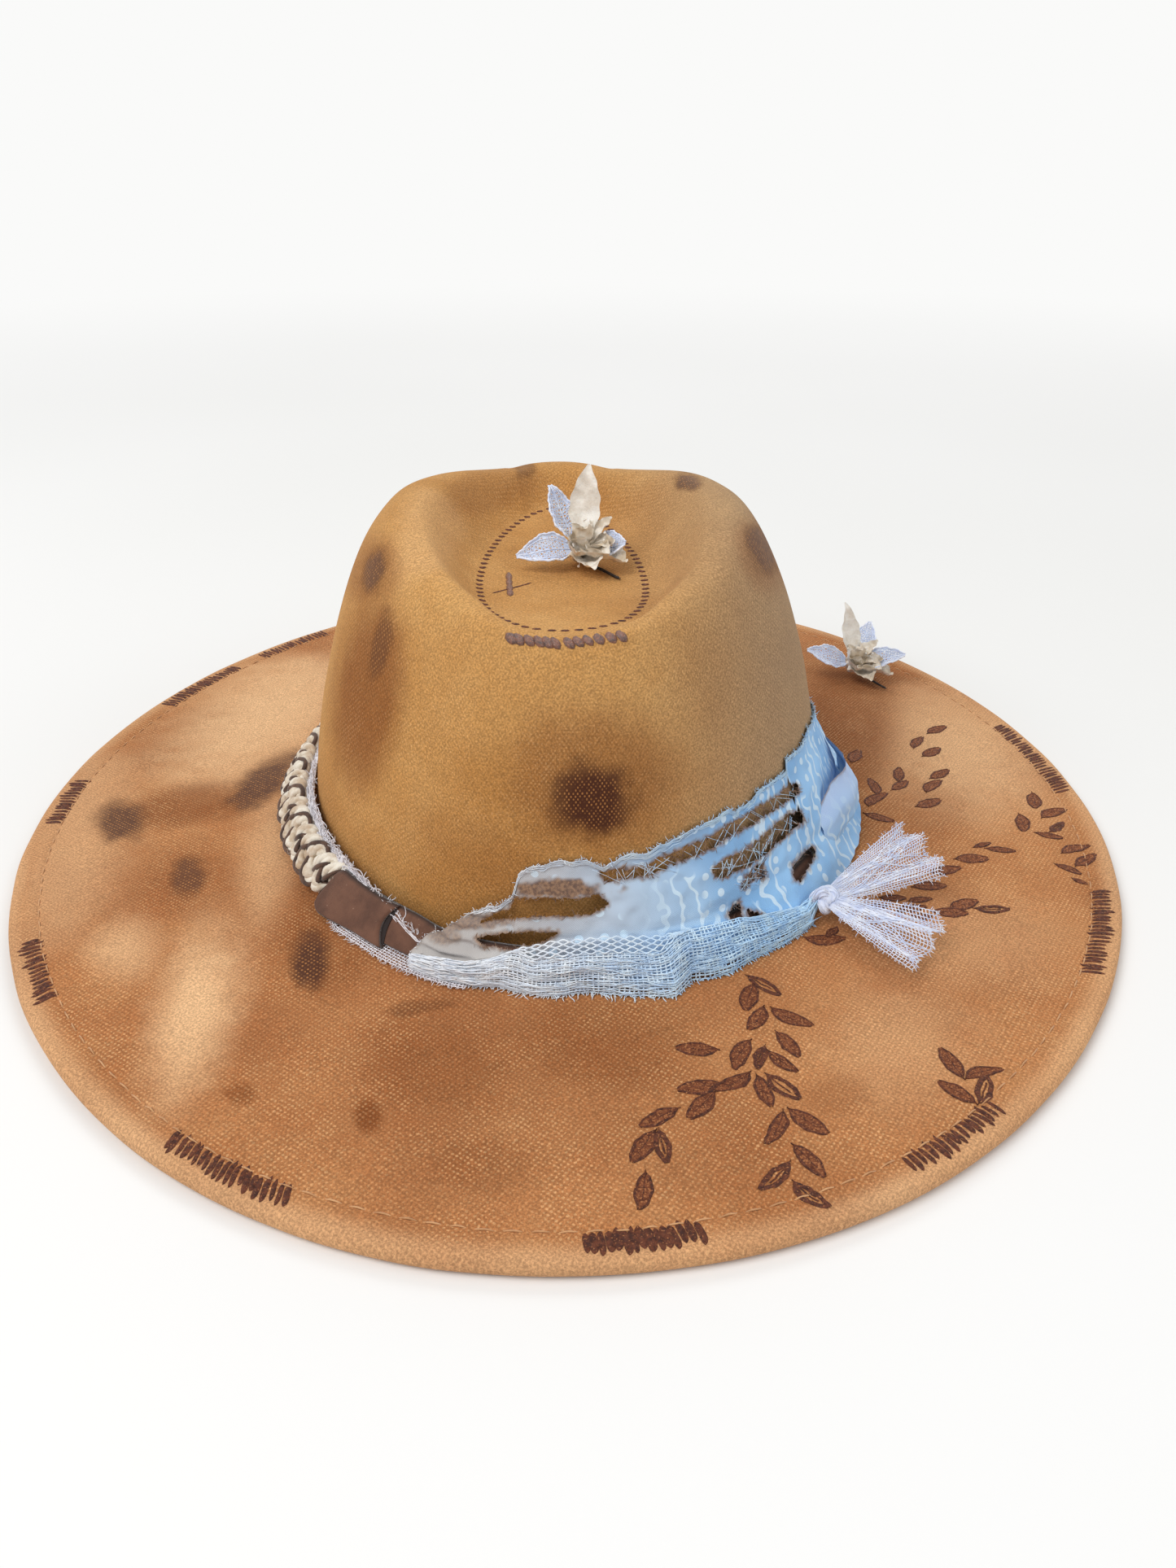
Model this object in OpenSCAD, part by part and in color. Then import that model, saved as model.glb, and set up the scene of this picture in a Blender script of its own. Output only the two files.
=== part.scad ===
// Wide-brim felt hat: teardrop crown, wired hem, braided band with suede ends,
// torn cloth and lace tied round it, and two small cloth flowers.
// X runs to the wearer's right, Y to the front, Z up. The hem lies on z = 0.
// Angles round the oval ("turn") are measured from +X, so 90 is the front.

/* [Head oval] */
// Half width of the crown where it meets the brim
half_width = 87; // [83:1:95]
// Half length of the crown where it meets the brim
half_length = 104; // [100:1:113]
// Radius of the oval's front and back arcs
end_radius = 71; // [63:1:77]

/* [Brim] */
// Reach of the brim from the crown to its edge
brim_reach = 97; // [75:1:115]
// Thickness of the brim's felt
brim_ply = 2.4; // [1.8:0.1:3.2]
// Width of the hem turned under the edge
hem_width = 14; // [10:1:20]
// Thickness of the hem
hem_thick = 5; // [4.4:0.1:6]
// Rise of the brim from the hem to the crown
brim_rise = 4; // [1:0.5:10]
// Height of the collar turned up inside the crown
collar_height = 8; // [5:1:10]
// Thickness of the collar
collar_ply = 1.4; // [1:0.1:2]
// Diameter of the wire in the hem
wire_d = 1.6; // [1.2:0.1:2]
// Wall of the sleeve that joins the wire's ends
sleeve_wall = 0.4; // [0.3:0.05:0.6]
// Length of the sleeve
sleeve_length = 22; // [14:1:30]

/* [Crown] */
// Thickness of the crown's felt
felt = 2.2; // [1.6:0.1:3]
// Height of the crest at the sides, above the rest plane
side_crest = 112; // [102:1:124]
// Height of the crest at the front
front_crest = 104; // [100:1:120]
// Height of the crest at the back
back_crest = 101; // [99:1:116]
// Inset of the crest from the base at the sides
side_inset = 41; // [32:1:46]
// Inset of the crest at the front
front_inset = 32; // [24:1:38]
// Inset of the crest at the back
back_inset = 18; // [14:1:26]
// Share of the inset that is the wall's own lean
wall_lean = 0.48; // [0.3:0.02:0.7]
// Sharpness of the shoulder across
shoulder_run = 3.4; // [2.4:0.1:4]
// Sharpness of the shoulder upwards
shoulder_rise = 2.2; // [2:0.1:3]
// Half width of the teardrop floor
floor_half_width = 30; // [22:1:34]
// Half length of the teardrop floor
floor_half_length = 65; // [50:1:68]
// Shift of the floor towards the back
floor_shift = 15; // [5:1:20]
// Narrowing of the floor towards the front
floor_taper = 0.3; // [0:0.05:0.5]
// Height of the middle of the floor
floor_height = 93; // [84:1:96]
// Rise of the floor's rim at the sides and front
floor_rim = 1; // [0.5:0.5:3]
// Rise of the floor's rim at the back
floor_back_rim = 6.5; // [2:0.5:8]
// Angle of each front pinch from the front
pinch_turn = 36; // [25:1:50]
// Spread of a pinch
pinch_spread = 20; // [12:1:30]
// Depth of a pinch at the crest
pinch_depth = 9; // [0:1:14]
// Drop of the crest at a pinch
pinch_drop = 1; // [0:0.5:6]

/* [Sweatband] */
// Height of the sweatband
sweat_height = 30; // [22:1:34]
// Thickness of the sweatband
sweat_thick = 1.2; // [0.8:0.1:1.6]
// Diameter of the piping along its lower edge
piping_d = 2.2; // [1.8:0.1:3]

/* [Band] */
// Splay of the band's foot out from the crown
band_splay = 9; // [5:0.5:11]
// Height of the gauze strip under the band, straight up
gauze_height = 13; // [12:0.5:18]
// Thickness of the gauze strip
gauze_thick = 0.8; // [0.5:0.1:1.2]
// Height of the braid, straight up
braid_height = 11; // [8:0.5:12]
// Thickness of the braid
braid_thick = 4.4; // [3:0.2:6]
// Turn at which the braid ends, left of the back
braid_left = 215; // [205:1:220]
// Turn at which the braid ends, right of the back
braid_right = 328; // [320:1:335]
// Thickness of the suede ends
suede_thick = 1.6; // [1:0.1:2.2]
// Height of the suede keeper, straight up
keeper_height = 10.5; // [8:0.5:12]
// Turn at which the keeper ends
keeper_end = 229; // [225:1:240]
// Height of the suede strap that runs through the keeper, straight up
strap_height = 8; // [5:0.5:8]

/* [Cloth wraps] */
// Thickness of the torn cloth
cloth_thick = 1; // [0.6:0.1:1.6]
// Turn at which the torn cloth starts, left of the back
cloth_start = 236; // [231:1:242]
// Turn at which the torn cloth ends, right of the front
cloth_end = 405; // [380:5:430]
// Height of the torn cloth
cloth_height = 39; // [28:1:46]
// Thickness of the gathered lace
lace_thick = 3; // [2:0.2:4]
// Height of the gathered lace
lace_height = 17; // [12:1:22]
// Stand-off of the cloth loop at the right
loop_bulge = 9; // [5:1:14]
// Turn at which the loop starts
loop_start = 327; // [325:1:332]
// Turn at which the loop ends
loop_end = 354; // [348:1:360]
// Height of the loop
loop_height = 30; // [22:1:34]
// Height of the loop's lower edge above the foot of the wraps
loop_lift = 3; // [1:0.5:5]
// Turn at which the knot sits
knot_turn = 320; // [312:1:323]
// Diameter of the knot
knot_d = 10; // [8:0.5:13]
// Length of the upper tail
upper_length = 36; // [24:1:42]
// Length of the lower tail
lower_length = 29; // [22:1:36]
// Width of a tail at its tip
tail_width = 22; // [14:1:26]
// Thickness of a tail
tail_thick = 1.6; // [1:0.2:2.4]
// Direction of the upper tail
upper_turn = 27; // [15:1:40]
// Tilt of the upper tail above level
upper_tilt = 9; // [6:1:30]
// Roll of the upper tail about its length
upper_roll = 20; // [0:5:30]
// Direction of the lower tail
lower_turn = -37; // [-50:1:-25]
// Dip of the lower tail below level
lower_dip = 4; // [0:1:6]
// Roll of the lower tail about its length
lower_roll = 18; // [0:2:24]

/* [Flowers] */
// Length of a lace petal
petal_length = 19; // [14:1:24]
// Width of a lace petal
petal_width = 11; // [8:1:14]
// Length of the cream petal
cream_length = 26; // [20:1:30]
// Width of the cream petal
cream_width = 10; // [7:1:13]
// Thickness of the petals
petal_thick = 0.7; // [0.5:0.1:1]
// Diameter of the crumpled centre
centre_d = 9; // [7:0.5:12]
// Diameter of the stem wire
stem_d = 1.2; // [0.8:0.1:1.6]
// Length of the stem wire
stem_length = 15; // [10:1:20]
// Shift of the crown flower to the right of the floor's middle
crown_flower_right = 5; // [0:1:10]
// Shift of the crown flower to the front of the floor's middle
crown_flower_front = 6; // [0:1:10]
// Turn of the brim flower
brim_flower_turn = 32; // [20:1:45]
// Distance of the brim flower from the crown
brim_flower_out = 66; // [50:1:70]

/* [Clearances] */
// Gap between the band and what it rests on
band_gap = 0.3; // [0.2:0.05:0.5]
// Gap between pieces that lie on each other
layer_gap = 0.15; // [0.1:0.05:0.3]
// Room for the seam between the collar and the crown
seam_room = 0.6; // [0.5:0.1:1]

/* [Hidden] */
$fn = 96;

// Head oval, four tangent arcs
end_shift = half_length - end_radius;
side_radius = (half_width^2 + end_shift^2 - end_radius^2) / (2 * (half_width - end_radius));
side_shift = side_radius - half_width;
join_turn = atan2(end_shift, side_shift);
ARCS = [
    [-join_turn, join_turn, [-side_shift, 0], side_radius],
    [join_turn, 180 - join_turn, [0, end_shift], end_radius],
    [180 - join_turn, 180 + join_turn, [side_shift, 0], side_radius],
    [180 + join_turn, 360 - join_turn, [0, -end_shift], end_radius]
];

function in_lap(turn) = turn + join_turn - 360 * floor((turn + join_turn) / 360) - join_turn;
function arc_at(turn) = [for (arc = ARCS) if (in_lap(turn) >= arc[0] && in_lap(turn) < arc[1]) arc][0];
function oval_point(turn, out) =
    let (arc = arc_at(turn)) arc[2] + (arc[3] + out) * [cos(turn), sin(turn)];
// Turn that covers a length along the back arc
function back_turn(length, out) = length / (end_radius + out) * 180 / PI;

// Value that runs smoothly from the sides to the front and the back
function around(turn, side, front, back) =
    side * cos(turn)^2 + (sin(turn) > 0 ? front : back) * sin(turn)^2;
function mix(a, b, t) = a + (b - a) * t;
function ease(t) = (1 - cos(180 * t)) / 2;
function unit(v) = v / norm(v);

// Triangles between rows of points, where each row is a closed loop; lap joins the last row to the first
function grid_faces(rows, cols, first, flip, lap) = [
    for (r = [0 : rows - (lap ? 1 : 2)]) for (c = [0 : cols - 1])
        let (next_c = (c + 1) % cols, next_r = (r + 1) % rows)
        let (a = first + r * cols + c, b = first + r * cols + next_c)
        let (d = first + next_r * cols + c, e = first + next_r * cols + next_c)
        each flip ? [[a, b, e], [a, e, d]] : [[a, e, b], [a, d, e]]
];
// Triangles that close a loop made of a lower edge and the upper edge back again
function cap_faces(cols, first, flip) = [
    for (c = [0 : cols / 2 - 2])
        let (a = first + c, b = first + c + 1, d = first + cols - 1 - c, e = first + cols - 2 - c)
        each flip ? [[a, e, b], [a, d, e]] : [[a, b, e], [a, e, d]]
];

// Sweeps a section round the oval: section(turn) is a loop of [out, height], counter-clockwise
columns = 60;
RING_TURNS = [for (c = [0 : columns - 1]) 360 * c / columns];
function turns_between(from, to, steps) = [for (i = [0 : steps]) mix(from, to, i / steps)];
// Point on the straight facets between the ring's turns
function facet_point(turn, out) =
    let (step = 360 / columns, from = step * floor(turn / step))
    mix(oval_point(from, out), oval_point(from + step, out), (turn - from) / step);
function swept_points(turns, section, place) = [
    for (turn = turns) for (p = section(turn))
        let (xy = place(turn, p[0])) [xy[0], xy[1], p[1]]
];
on_oval = function(turn, out) oval_point(turn, out);
on_facets = function(turn, out) facet_point(turn, out);
module oval_ring(section) {
    polyhedron(
        points = swept_points(RING_TURNS, section, on_oval),
        faces = grid_faces(columns, len(section(0)), 0, true, true)
    );
}
module oval_span(turns, section, place = on_oval) {
    rows = len(turns);
    sides = len(section(turns[0]));
    polyhedron(
        points = swept_points(turns, section, place),
        faces = concat(
            grid_faces(rows, sides, 0, true, false),
            cap_faces(sides, 0, true),
            cap_faces(sides, (rows - 1) * sides, false)
        )
    );
}
function round_loop(centre, d, sides) =
    [for (i = [0 : sides - 1]) centre + d / 2 * [cos(360 * i / sides), sin(360 * i / sides)]];

// Brim: height of its upper face, falling smoothly from the crown to the hem
edge_start = brim_reach - hem_thick / 2;
hem_start = brim_reach - hem_width;
function brim_top(out) = hem_thick + brim_rise * max(0, 1 - max(0, out) / edge_start)^2;
seat = brim_top(0);
// Foot of the band and the wraps
wrap_floor = seat + band_gap;
collar_reach = min([for (turn = RING_TURNS) wall_out(turn, seat + collar_height)]);
collar_face = collar_reach - felt - seam_room;
collar_back = collar_face - collar_ply;
brim_steps = 3;
wire_height = hem_thick / 2;
sleeve_d = wire_d + 2 * (layer_gap + sleeve_wall);
fold_slit = layer_gap;
fold_sides = 5;
// The fold's flats clear the sleeve
fold_d = (sleeve_d + 2 * layer_gap) / cos(165 / fold_sides);
edge_sides = 6;
// The felt is turned under at the edge: a slit between the two plies runs out to the fold's wire
function brim_section() = concat(
    [for (i = [0 : brim_steps]) let (out = hem_start * i / brim_steps) [out, brim_top(out) - brim_ply]],
    [[hem_start, wire_height + fold_slit / 2]],
    [for (i = [0 : fold_sides]) let (a = 165 - 330 * i / fold_sides)
        [edge_start + fold_d / 2 * cos(a), wire_height + fold_d / 2 * sin(a)]],
    [[hem_start, wire_height - fold_slit / 2], [hem_start, 0]],
    [for (i = [0 : edge_sides]) let (a = -90 + 180 * i / edge_sides)
        [edge_start + hem_thick / 2 * cos(a), wire_height + hem_thick / 2 * sin(a)]],
    [for (i = [brim_steps - 1 : -1 : 0]) let (out = edge_start * i / brim_steps) [out, brim_top(out)]],
    [
        [collar_face, seat],
        [collar_face, seat + collar_height],
        [collar_back, seat + collar_height],
        [collar_back, seat - brim_ply]
    ]
);
module brim() {
    section = brim_section();
    color("peru") oval_ring(function(turn) section);
}

// Wire ends meet at the back, inside a sleeve rolled from strip
wire_gap = 0.6;
wire_sides = 6;
module brim_wire() {
    half = back_turn(wire_gap / 2, edge_start);
    long_way = [for (i = [1 : columns - 1]) 270 + 360 * i / columns];
    section = round_loop([edge_start, wire_height], wire_d, wire_sides);
    color("dimgray")
        oval_span(concat([270 + half], long_way, [630 - half]), function(turn) section, on_facets);
}
sleeve_seam = 20;
sleeve_sides = 6;
function sleeve_arc(d) =
    [for (i = [0 : sleeve_sides]) let (a = 90 + sleeve_seam / 2 + (360 - sleeve_seam) * i / sleeve_sides)
        [edge_start + d / 2 * cos(a), wire_height + d / 2 * sin(a)]];
module wire_joiner() {
    half = back_turn(sleeve_length / 2, edge_start);
    inside = sleeve_arc(sleeve_d - 2 * sleeve_wall);
    section = concat(sleeve_arc(sleeve_d), [for (i = [sleeve_sides : -1 : 0]) inside[i]]);
    color("silver") oval_span([270 - half, 270, 270 + half], function(turn) section, on_facets);
}

// Crown: wall up to the crest, slope down into the dent, floor of the dent
function pinch(turn) =
    let (t = in_lap(turn))
    exp(-((t - 90 - pinch_turn) / pinch_spread)^2) + exp(-((t - 90 + pinch_turn) / pinch_spread)^2);
function crest_inset(turn) =
    around(turn, side_inset, front_inset, back_inset) + pinch_depth * pinch(turn);
function crest_height(turn) =
    around(turn, side_crest, front_crest, back_crest) - pinch_drop * pinch(turn);
// Share of the crest's inset that the wall has reached at a share of its height
function wall_inset(rise) =
    let (tilt = asin(min(1, rise^(shoulder_rise / 2))))
    wall_lean * rise^1.5 + (1 - wall_lean) * (1 - cos(tilt)^(2 / shoulder_run));
function wall_point(turn, t) =
    let (rise = sin(90 * t)^(2 / shoulder_rise))
    let (xy = oval_point(turn, -crest_inset(turn) * wall_inset(rise)))
    [xy[0], xy[1], mix(seat, crest_height(turn), rise)];
function floor_edge(turn) = [
    floor_half_width * cos(turn) * (1 - floor_taper * (1 + sin(turn)) / 2),
    floor_half_length * sin(turn) - floor_shift,
    floor_height + around(turn, floor_rim, floor_rim, floor_back_rim)
];
floor_middle = [0, -floor_shift, floor_height];
function slope_point(turn, t) =
    let (crest = wall_point(turn, 1), edge = floor_edge(turn))
    [mix(crest[0], edge[0], t), mix(crest[1], edge[1], t), mix(crest[2], edge[2], ease(t))];
function floor_point(turn, t) =
    let (edge = floor_edge(turn))
    [
        mix(edge[0], floor_middle[0], t),
        mix(edge[1], floor_middle[1], t),
        mix(floor_height, edge[2], (1 - t)^2)
    ];
function crown_point(turn, s) =
    s <= 1 ? wall_point(turn, max(0, s)) : s <= 2 ? slope_point(turn, s - 1) : floor_point(turn, s - 2);
// Outward normal, from the points a small step away
normal_step = 0.02;
function crown_normal(turn, s) =
    s == 0 ? [cos(turn), sin(turn), 0] :
    unit(cross(
        crown_point(turn + 1, s) - crown_point(turn - 1, s),
        crown_point(turn, s + normal_step) - crown_point(turn, s - normal_step)
    ));
// Rows of the crown, close together at the foot, where the collar and the wraps lie
foot_rows = 4;
wall_rows = 5;
slope_rows = 5;
floor_rows = 2;
foot_rise = (wrap_floor + cloth_height - seat) / (side_crest - seat);
function row_at(rise) = asin(rise^(shoulder_rise / 2)) / 90;
CROWN_ROWS = [
    for (i = [0 : foot_rows]) row_at(foot_rise * i / foot_rows),
    for (i = [1 : wall_rows]) mix(row_at(foot_rise), 1, i / wall_rows),
    for (i = [1 : slope_rows]) 1 + i / slope_rows,
    for (i = [1 : floor_rows]) 2 + i / (floor_rows + 1)
];
module crown() {
    rows = len(CROWN_ROWS);
    outer = [for (s = CROWN_ROWS) for (turn = RING_TURNS) crown_point(turn, s)];
    inner = [for (s = CROWN_ROWS) for (turn = RING_TURNS)
        crown_point(turn, s) - felt * crown_normal(turn, s)];
    count = rows * columns;
    top = 2 * count;
    last = count - columns;
    ends = [for (c = [0 : columns - 1])
        let (n = (c + 1) % columns)
        each [
            [last + c, top, last + n],
            [count + last + c, count + last + n, top + 1],
            [c, n, count + n],
            [c, count + n, count + c]
        ]];
    color("burlywood")
        polyhedron(
            points = concat(outer, inner, [floor_middle, floor_middle - [0, 0, felt]]),
            faces = concat(
                grid_faces(rows, columns, 0, false, false),
                grid_faces(rows, columns, count, true, false),
                ends
            )
        );
}
// Distance out from the oval of the crown's outer face at a height
function wall_out(turn, z) =
    -crest_inset(turn) * wall_inset(max(0, z - seat) / (crest_height(turn) - seat));
// The band leans on the crown at its top and splays out over the brim at its foot
gauze_top = wrap_floor + gauze_height;
function splay(z) = band_splay * max(0, (gauze_top - z) / gauze_height);
function band_out(turn, z) = wall_out(turn, z) + splay(z);

// Sweatband: a strip that leans with the crown's walls, piped along its lower edge
sweat_face = collar_back - layer_gap;
sweat_low = seat - brim_ply;
sweat_bend = seat + collar_height;
sweat_high = sweat_low + sweat_height;
sweat_reach = min([for (turn = RING_TURNS) wall_out(turn, sweat_high)]);
sweat_top_face = min(sweat_face, sweat_reach - felt - seam_room);
piping_sides = 3;
function sweat_section() = concat(
    [for (i = [0 : piping_sides]) let (a = 180 + 180 * i / piping_sides)
        [sweat_face + piping_d / 2 * (cos(a) - 1), sweat_low + piping_d / 2 * sin(a)]],
    [
        [sweat_face, sweat_bend],
        [sweat_top_face, sweat_high],
        [sweat_top_face - sweat_thick, sweat_high],
        [sweat_face - sweat_thick, sweat_bend],
        [sweat_face - sweat_thick, sweat_low + piping_d / 2]
    ]
);
module sweatband() {
    section = sweat_section();
    color("saddlebrown") oval_ring(function(turn) section);
}

// Strip of the band with a gap to the crown at its top, from a lower to an upper height
strip_rows = 2;
function strip(turn, gap, thick, low, high) =
    let (heights = [for (i = [0 : strip_rows]) mix(low, high, i / strip_rows)])
    concat(
        [for (i = [strip_rows : -1 : 0]) [band_out(turn, heights[i]) + gap, heights[i]]],
        [for (z = heights) [band_out(turn, z) + gap + thick, z]]
    );
module gauze_band() {
    color("whitesmoke")
        oval_ring(function(turn) strip(turn, band_gap, gauze_thick, wrap_floor, gauze_top));
}

// Braid: two rows of cord side by side, each rounded outwards
braid_in = band_gap + gauze_thick + layer_gap;
braid_out = braid_in + braid_thick;
braid_low = wrap_floor + (gauze_height - braid_height) / 2;
braid_middle = braid_low + braid_height / 2;
braid_top = braid_low + braid_height;
braid_shares = [for (i = [0 : 6]) i / 6];
function braid_depth(share) = braid_thick * (0.4 + 0.6 * abs(sin(360 * share)));
function braid_section(turn) =
    let (heights = [for (share = braid_shares) braid_low + braid_height * share])
    concat(
        [for (i = [6 : -1 : 0]) [band_out(turn, heights[i]) + braid_in, heights[i]]],
        [for (i = [0 : 6]) [band_out(turn, heights[i]) + braid_in + braid_depth(braid_shares[i]), heights[i]]]
    );
module braid_band() {
    color("wheat")
        oval_span(turns_between(braid_right - 360, braid_left, 36), function(turn) braid_section(turn));
}

// Suede ends: the strap from the right runs on under the keeper at the left
keeper_in = braid_in + suede_thick + layer_gap;
keeper_start = braid_left + back_turn(layer_gap, 0);
keeper_corner = 4;
keeper_low = wrap_floor + layer_gap;
keeper_middle = keeper_low + keeper_height / 2;
function corner_cut(turn, end, radius) =
    let (along = min(radius, abs(turn - end) * PI / 180 * (end_radius + keeper_in)))
    radius - sqrt(radius^2 - (radius - along)^2);
module suede_keeper() {
    color("sienna")
        oval_span(turns_between(keeper_start, keeper_end, 16),
            function(turn)
                let (half = keeper_height / 2 - corner_cut(turn, keeper_start, keeper_corner))
                strip(turn, keeper_in, suede_thick, keeper_middle - half, keeper_middle + half));
}
strap_start = keeper_start + back_turn(keeper_corner, 0);
module suede_strap() {
    half = strap_height / 2;
    color("saddlebrown")
        oval_span(turns_between(strap_start, braid_right - back_turn(layer_gap, 0), 24),
            function(turn) strip(turn, braid_in, suede_thick, keeper_middle - half, keeper_middle + half));
}

// Torn cloth: rises from the lace at the left of the back to its full height at the right,
// stands clear of the band and lies back on the crown above it
cloth_in = max(keeper_in + suede_thick, braid_out) + layer_gap;
cloth_out = cloth_in + cloth_thick;
cloth_rise_turn = 34;
function cloth_top(turn) =
    mix(braid_middle, wrap_floor + cloth_height, ease(min(1, (turn - cloth_start) / cloth_rise_turn)));
function cloth_gap(z) =
    mix(cloth_in, braid_in, ease(max(0, min(1, (z - gauze_top) / (cloth_height - gauze_height)))));
function cloth_section(turn) =
    let (high = cloth_top(turn), middle = min(gauze_top, mix(wrap_floor, high, 0.7)))
    let (heights = [wrap_floor, middle, mix(middle, high, 0.5), high])
    concat(
        [for (i = [3 : -1 : 0]) [band_out(turn, heights[i]) + cloth_gap(heights[i]), heights[i]]],
        [for (z = heights) [band_out(turn, z) + cloth_gap(z) + cloth_thick, z]]
    );
module bandana_wrap() {
    color("lightgray")
        oval_span(turns_between(cloth_start, cloth_end, 32), function(turn) cloth_section(turn));
}
// Loop of the same cloth that stands off at the right
loop_low = wrap_floor + loop_lift;
loop_high = loop_low + loop_height;
module bandana_loop() {
    color("lavender")
        oval_span(turns_between(loop_start, loop_end, 16),
            function(turn)
                let (t = (turn - loop_start) / (loop_end - loop_start))
                let (gap = cloth_out + layer_gap + loop_bulge * sin(180 * t))
                strip(turn, gap, cloth_thick, loop_low, loop_high));
}

// Lace: a gathered roll along the foot of the torn cloth, tied in a knot with two tails
lace_start = cloth_start;
lace_end = knot_turn - back_turn(knot_d / 2, cloth_out);
lace_in = cloth_out + layer_gap;
lace_hem = 1;
function lace_section(turn) =
    let (swell = min(1, 0.35 + (turn - lace_start) / 30, 0.6 + (lace_end - turn) / 20))
    let (high = wrap_floor + lace_height * swell, depth = lace_thick * swell)
    let (depths = [lace_thick + lace_hem, depth + lace_hem, depth * 0.7, lace_hem / 2])
    let (heights = [for (share = [0, 0.35, 0.75, 1]) mix(wrap_floor, high, share)])
    concat(
        [for (i = [3 : -1 : 0]) [band_out(turn, heights[i]) + lace_in, heights[i]]],
        [for (i = [0 : 3]) [band_out(turn, heights[i]) + lace_in + depths[i], heights[i]]]
    );
module lace_wrap() {
    color("white") oval_span(turns_between(lace_start, lace_end, 26), function(turn) lace_section(turn));
}
knot_wrap = 0.4;
knot_ball_d = knot_d - 2 * knot_wrap;
// The knot sits on the splayed cloth
knot_lift = 0.7;
knot_height = wrap_floor + knot_d / 2 + knot_lift;
knot_stand = knot_ball_d / 2 / cos(atan(band_splay / gauze_height));
knot_xy = oval_point(knot_turn, lace_in + splay(knot_height) + knot_stand);
knot_place = [knot_xy[0], knot_xy[1], knot_height];
knot_coil_d = knot_d * 0.38;
module lace_knot() {
    color("white")
        translate(knot_place)
            rotate([0, 0, (upper_turn + lower_turn) / 2])
                union() {
                    sphere(d = knot_ball_d);
                    rotate([0, 90, 0])
                        rotate_extrude()
                            translate([(knot_d - knot_coil_d) / 2, 0])
                                circle(d = knot_coil_d);
                }
}

// Soft sheet: point(along, across) gives its middle, thick its thickness
module sheet(rows, cols, thick, point) {
    across = concat(
        [for (c = [0 : cols]) [c / cols, -thick / 2]],
        [for (c = [cols : -1 : 0]) [c / cols, thick / 2]]
    );
    sides = len(across);
    polyhedron(
        points = [for (r = [0 : rows]) for (p = across) point(r / rows, p[0]) + [0, 0, p[1]]],
        faces = concat(
            grid_faces(rows + 1, sides, 0, false, false),
            cap_faces(sides, 0, false),
            cap_faces(sides, rows * sides, true)
        )
    );
}
// Tail: a fan of pleated lace that leaves the knot along X
tail_root = 0.18;
pleats = 2;
module tail(turn, tilt, roll, length) {
    color("white")
        translate(knot_place)
            rotate([0, -tilt, turn])
                rotate([roll, 0, 0])
                    sheet(5, 8, tail_thick, function(t, across) [
                        knot_d / 2 + band_gap + length * t,
                        tail_width * mix(tail_root, 1, t^0.8) * (across - 0.5),
                        tail_thick * t * sin(360 * pleats * across)
                    ]);
}
module lace_tail_upper() { tail(upper_turn, upper_tilt, upper_roll, upper_length); }
module lace_tail_lower() { tail(lower_turn, -lower_dip, lower_roll, lower_length); }

// Flower: cupped petals round a crumpled centre, on a short wire stem
petal_cup = 1.8;
petal_curl = 2;
petal_root = centre_d / 2 + 2 * layer_gap;
function petal_outline(t) = sin(180 * mix(0.08, 0.97, t^0.8));
module petal(turn, tilt, roll, length, width) {
    rotate([0, -tilt, turn])
        rotate([roll, 0, 0])
            translate([petal_root, 0, 0])
                sheet(7, 5, petal_thick, function(t, across) [
                    length * t,
                    width / 2 * petal_outline(t) * (2 * across - 1),
                    petal_cup * petal_outline(t) * (2 * across - 1)^2 + petal_curl * t^2
                ]);
}
// Lace petals: turn, tilt and roll of each
module lace_petals(directions) {
    for (way = directions) petal(way[0], way[1], way[2], petal_length, petal_width);
}
module cream_petal(way) { petal(way[0], way[1], way[2], cream_length, cream_width); }
// Crumpled ball: a sphere whose radius ripples
centre_rows = 7;
centre_cols = 12;
function ripple(turn, rise) = 1 - 0.14 * (1 + sin(3 * turn + 2 * rise)) / 2;
module flower_centre() {
    rings = [for (r = [1 : centre_rows]) 180 * r / (centre_rows + 1) - 90];
    count = centre_rows * centre_cols;
    last = count - centre_cols;
    ends = [for (c = [0 : centre_cols - 1])
        let (n = (c + 1) % centre_cols)
        each [[c, n, count], [last + c, count + 1, last + n]]];
    polyhedron(
        points = concat(
            [for (rise = rings) for (c = [0 : centre_cols - 1])
                let (turn = 360 * c / centre_cols, radius = centre_d / 2 * ripple(turn, rise))
                radius * [cos(rise) * cos(turn), cos(rise) * sin(turn), sin(rise)]],
            [[0, 0, -centre_d / 2], [0, 0, centre_d / 2]]
        ),
        faces = concat(grid_faces(centre_rows, centre_cols, 0, false, false), ends)
    );
}
module flower_stem(turn, tilt) {
    rotate([0, 0, turn])
        translate([petal_root, 0, (stem_d - centre_d) / 2])
            rotate([0, 90 - tilt, 0])
                cylinder(d = stem_d, h = stem_length);
}
flower_lift = centre_d / 2 + layer_gap;
// Rise of the dent's floor at a point measured from its middle, at most
function floor_rise(p) =
    floor_rim * (p[0] / (floor_half_width * (1 - floor_taper)))^2
    + (p[1] > 0 ? floor_rim : floor_back_rim) * (p[1] / floor_half_length)^2;
crown_flower_xy = [crown_flower_right, crown_flower_front];
crown_stem_turn = -55;
crown_stem_end = crown_flower_xy + (petal_root + stem_length) * [cos(crown_stem_turn), sin(crown_stem_turn)];
crown_stem_tilt = atan((floor_rise(crown_stem_end) + layer_gap) / stem_length);
module on_crown() {
    translate(floor_middle + [crown_flower_xy[0], crown_flower_xy[1], floor_rise(crown_flower_xy) + flower_lift])
        children();
}
module on_brim() {
    xy = oval_point(brim_flower_turn, brim_flower_out);
    translate([xy[0], xy[1], brim_top(brim_flower_out - stem_length - petal_root) + flower_lift]) children();
}
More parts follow.
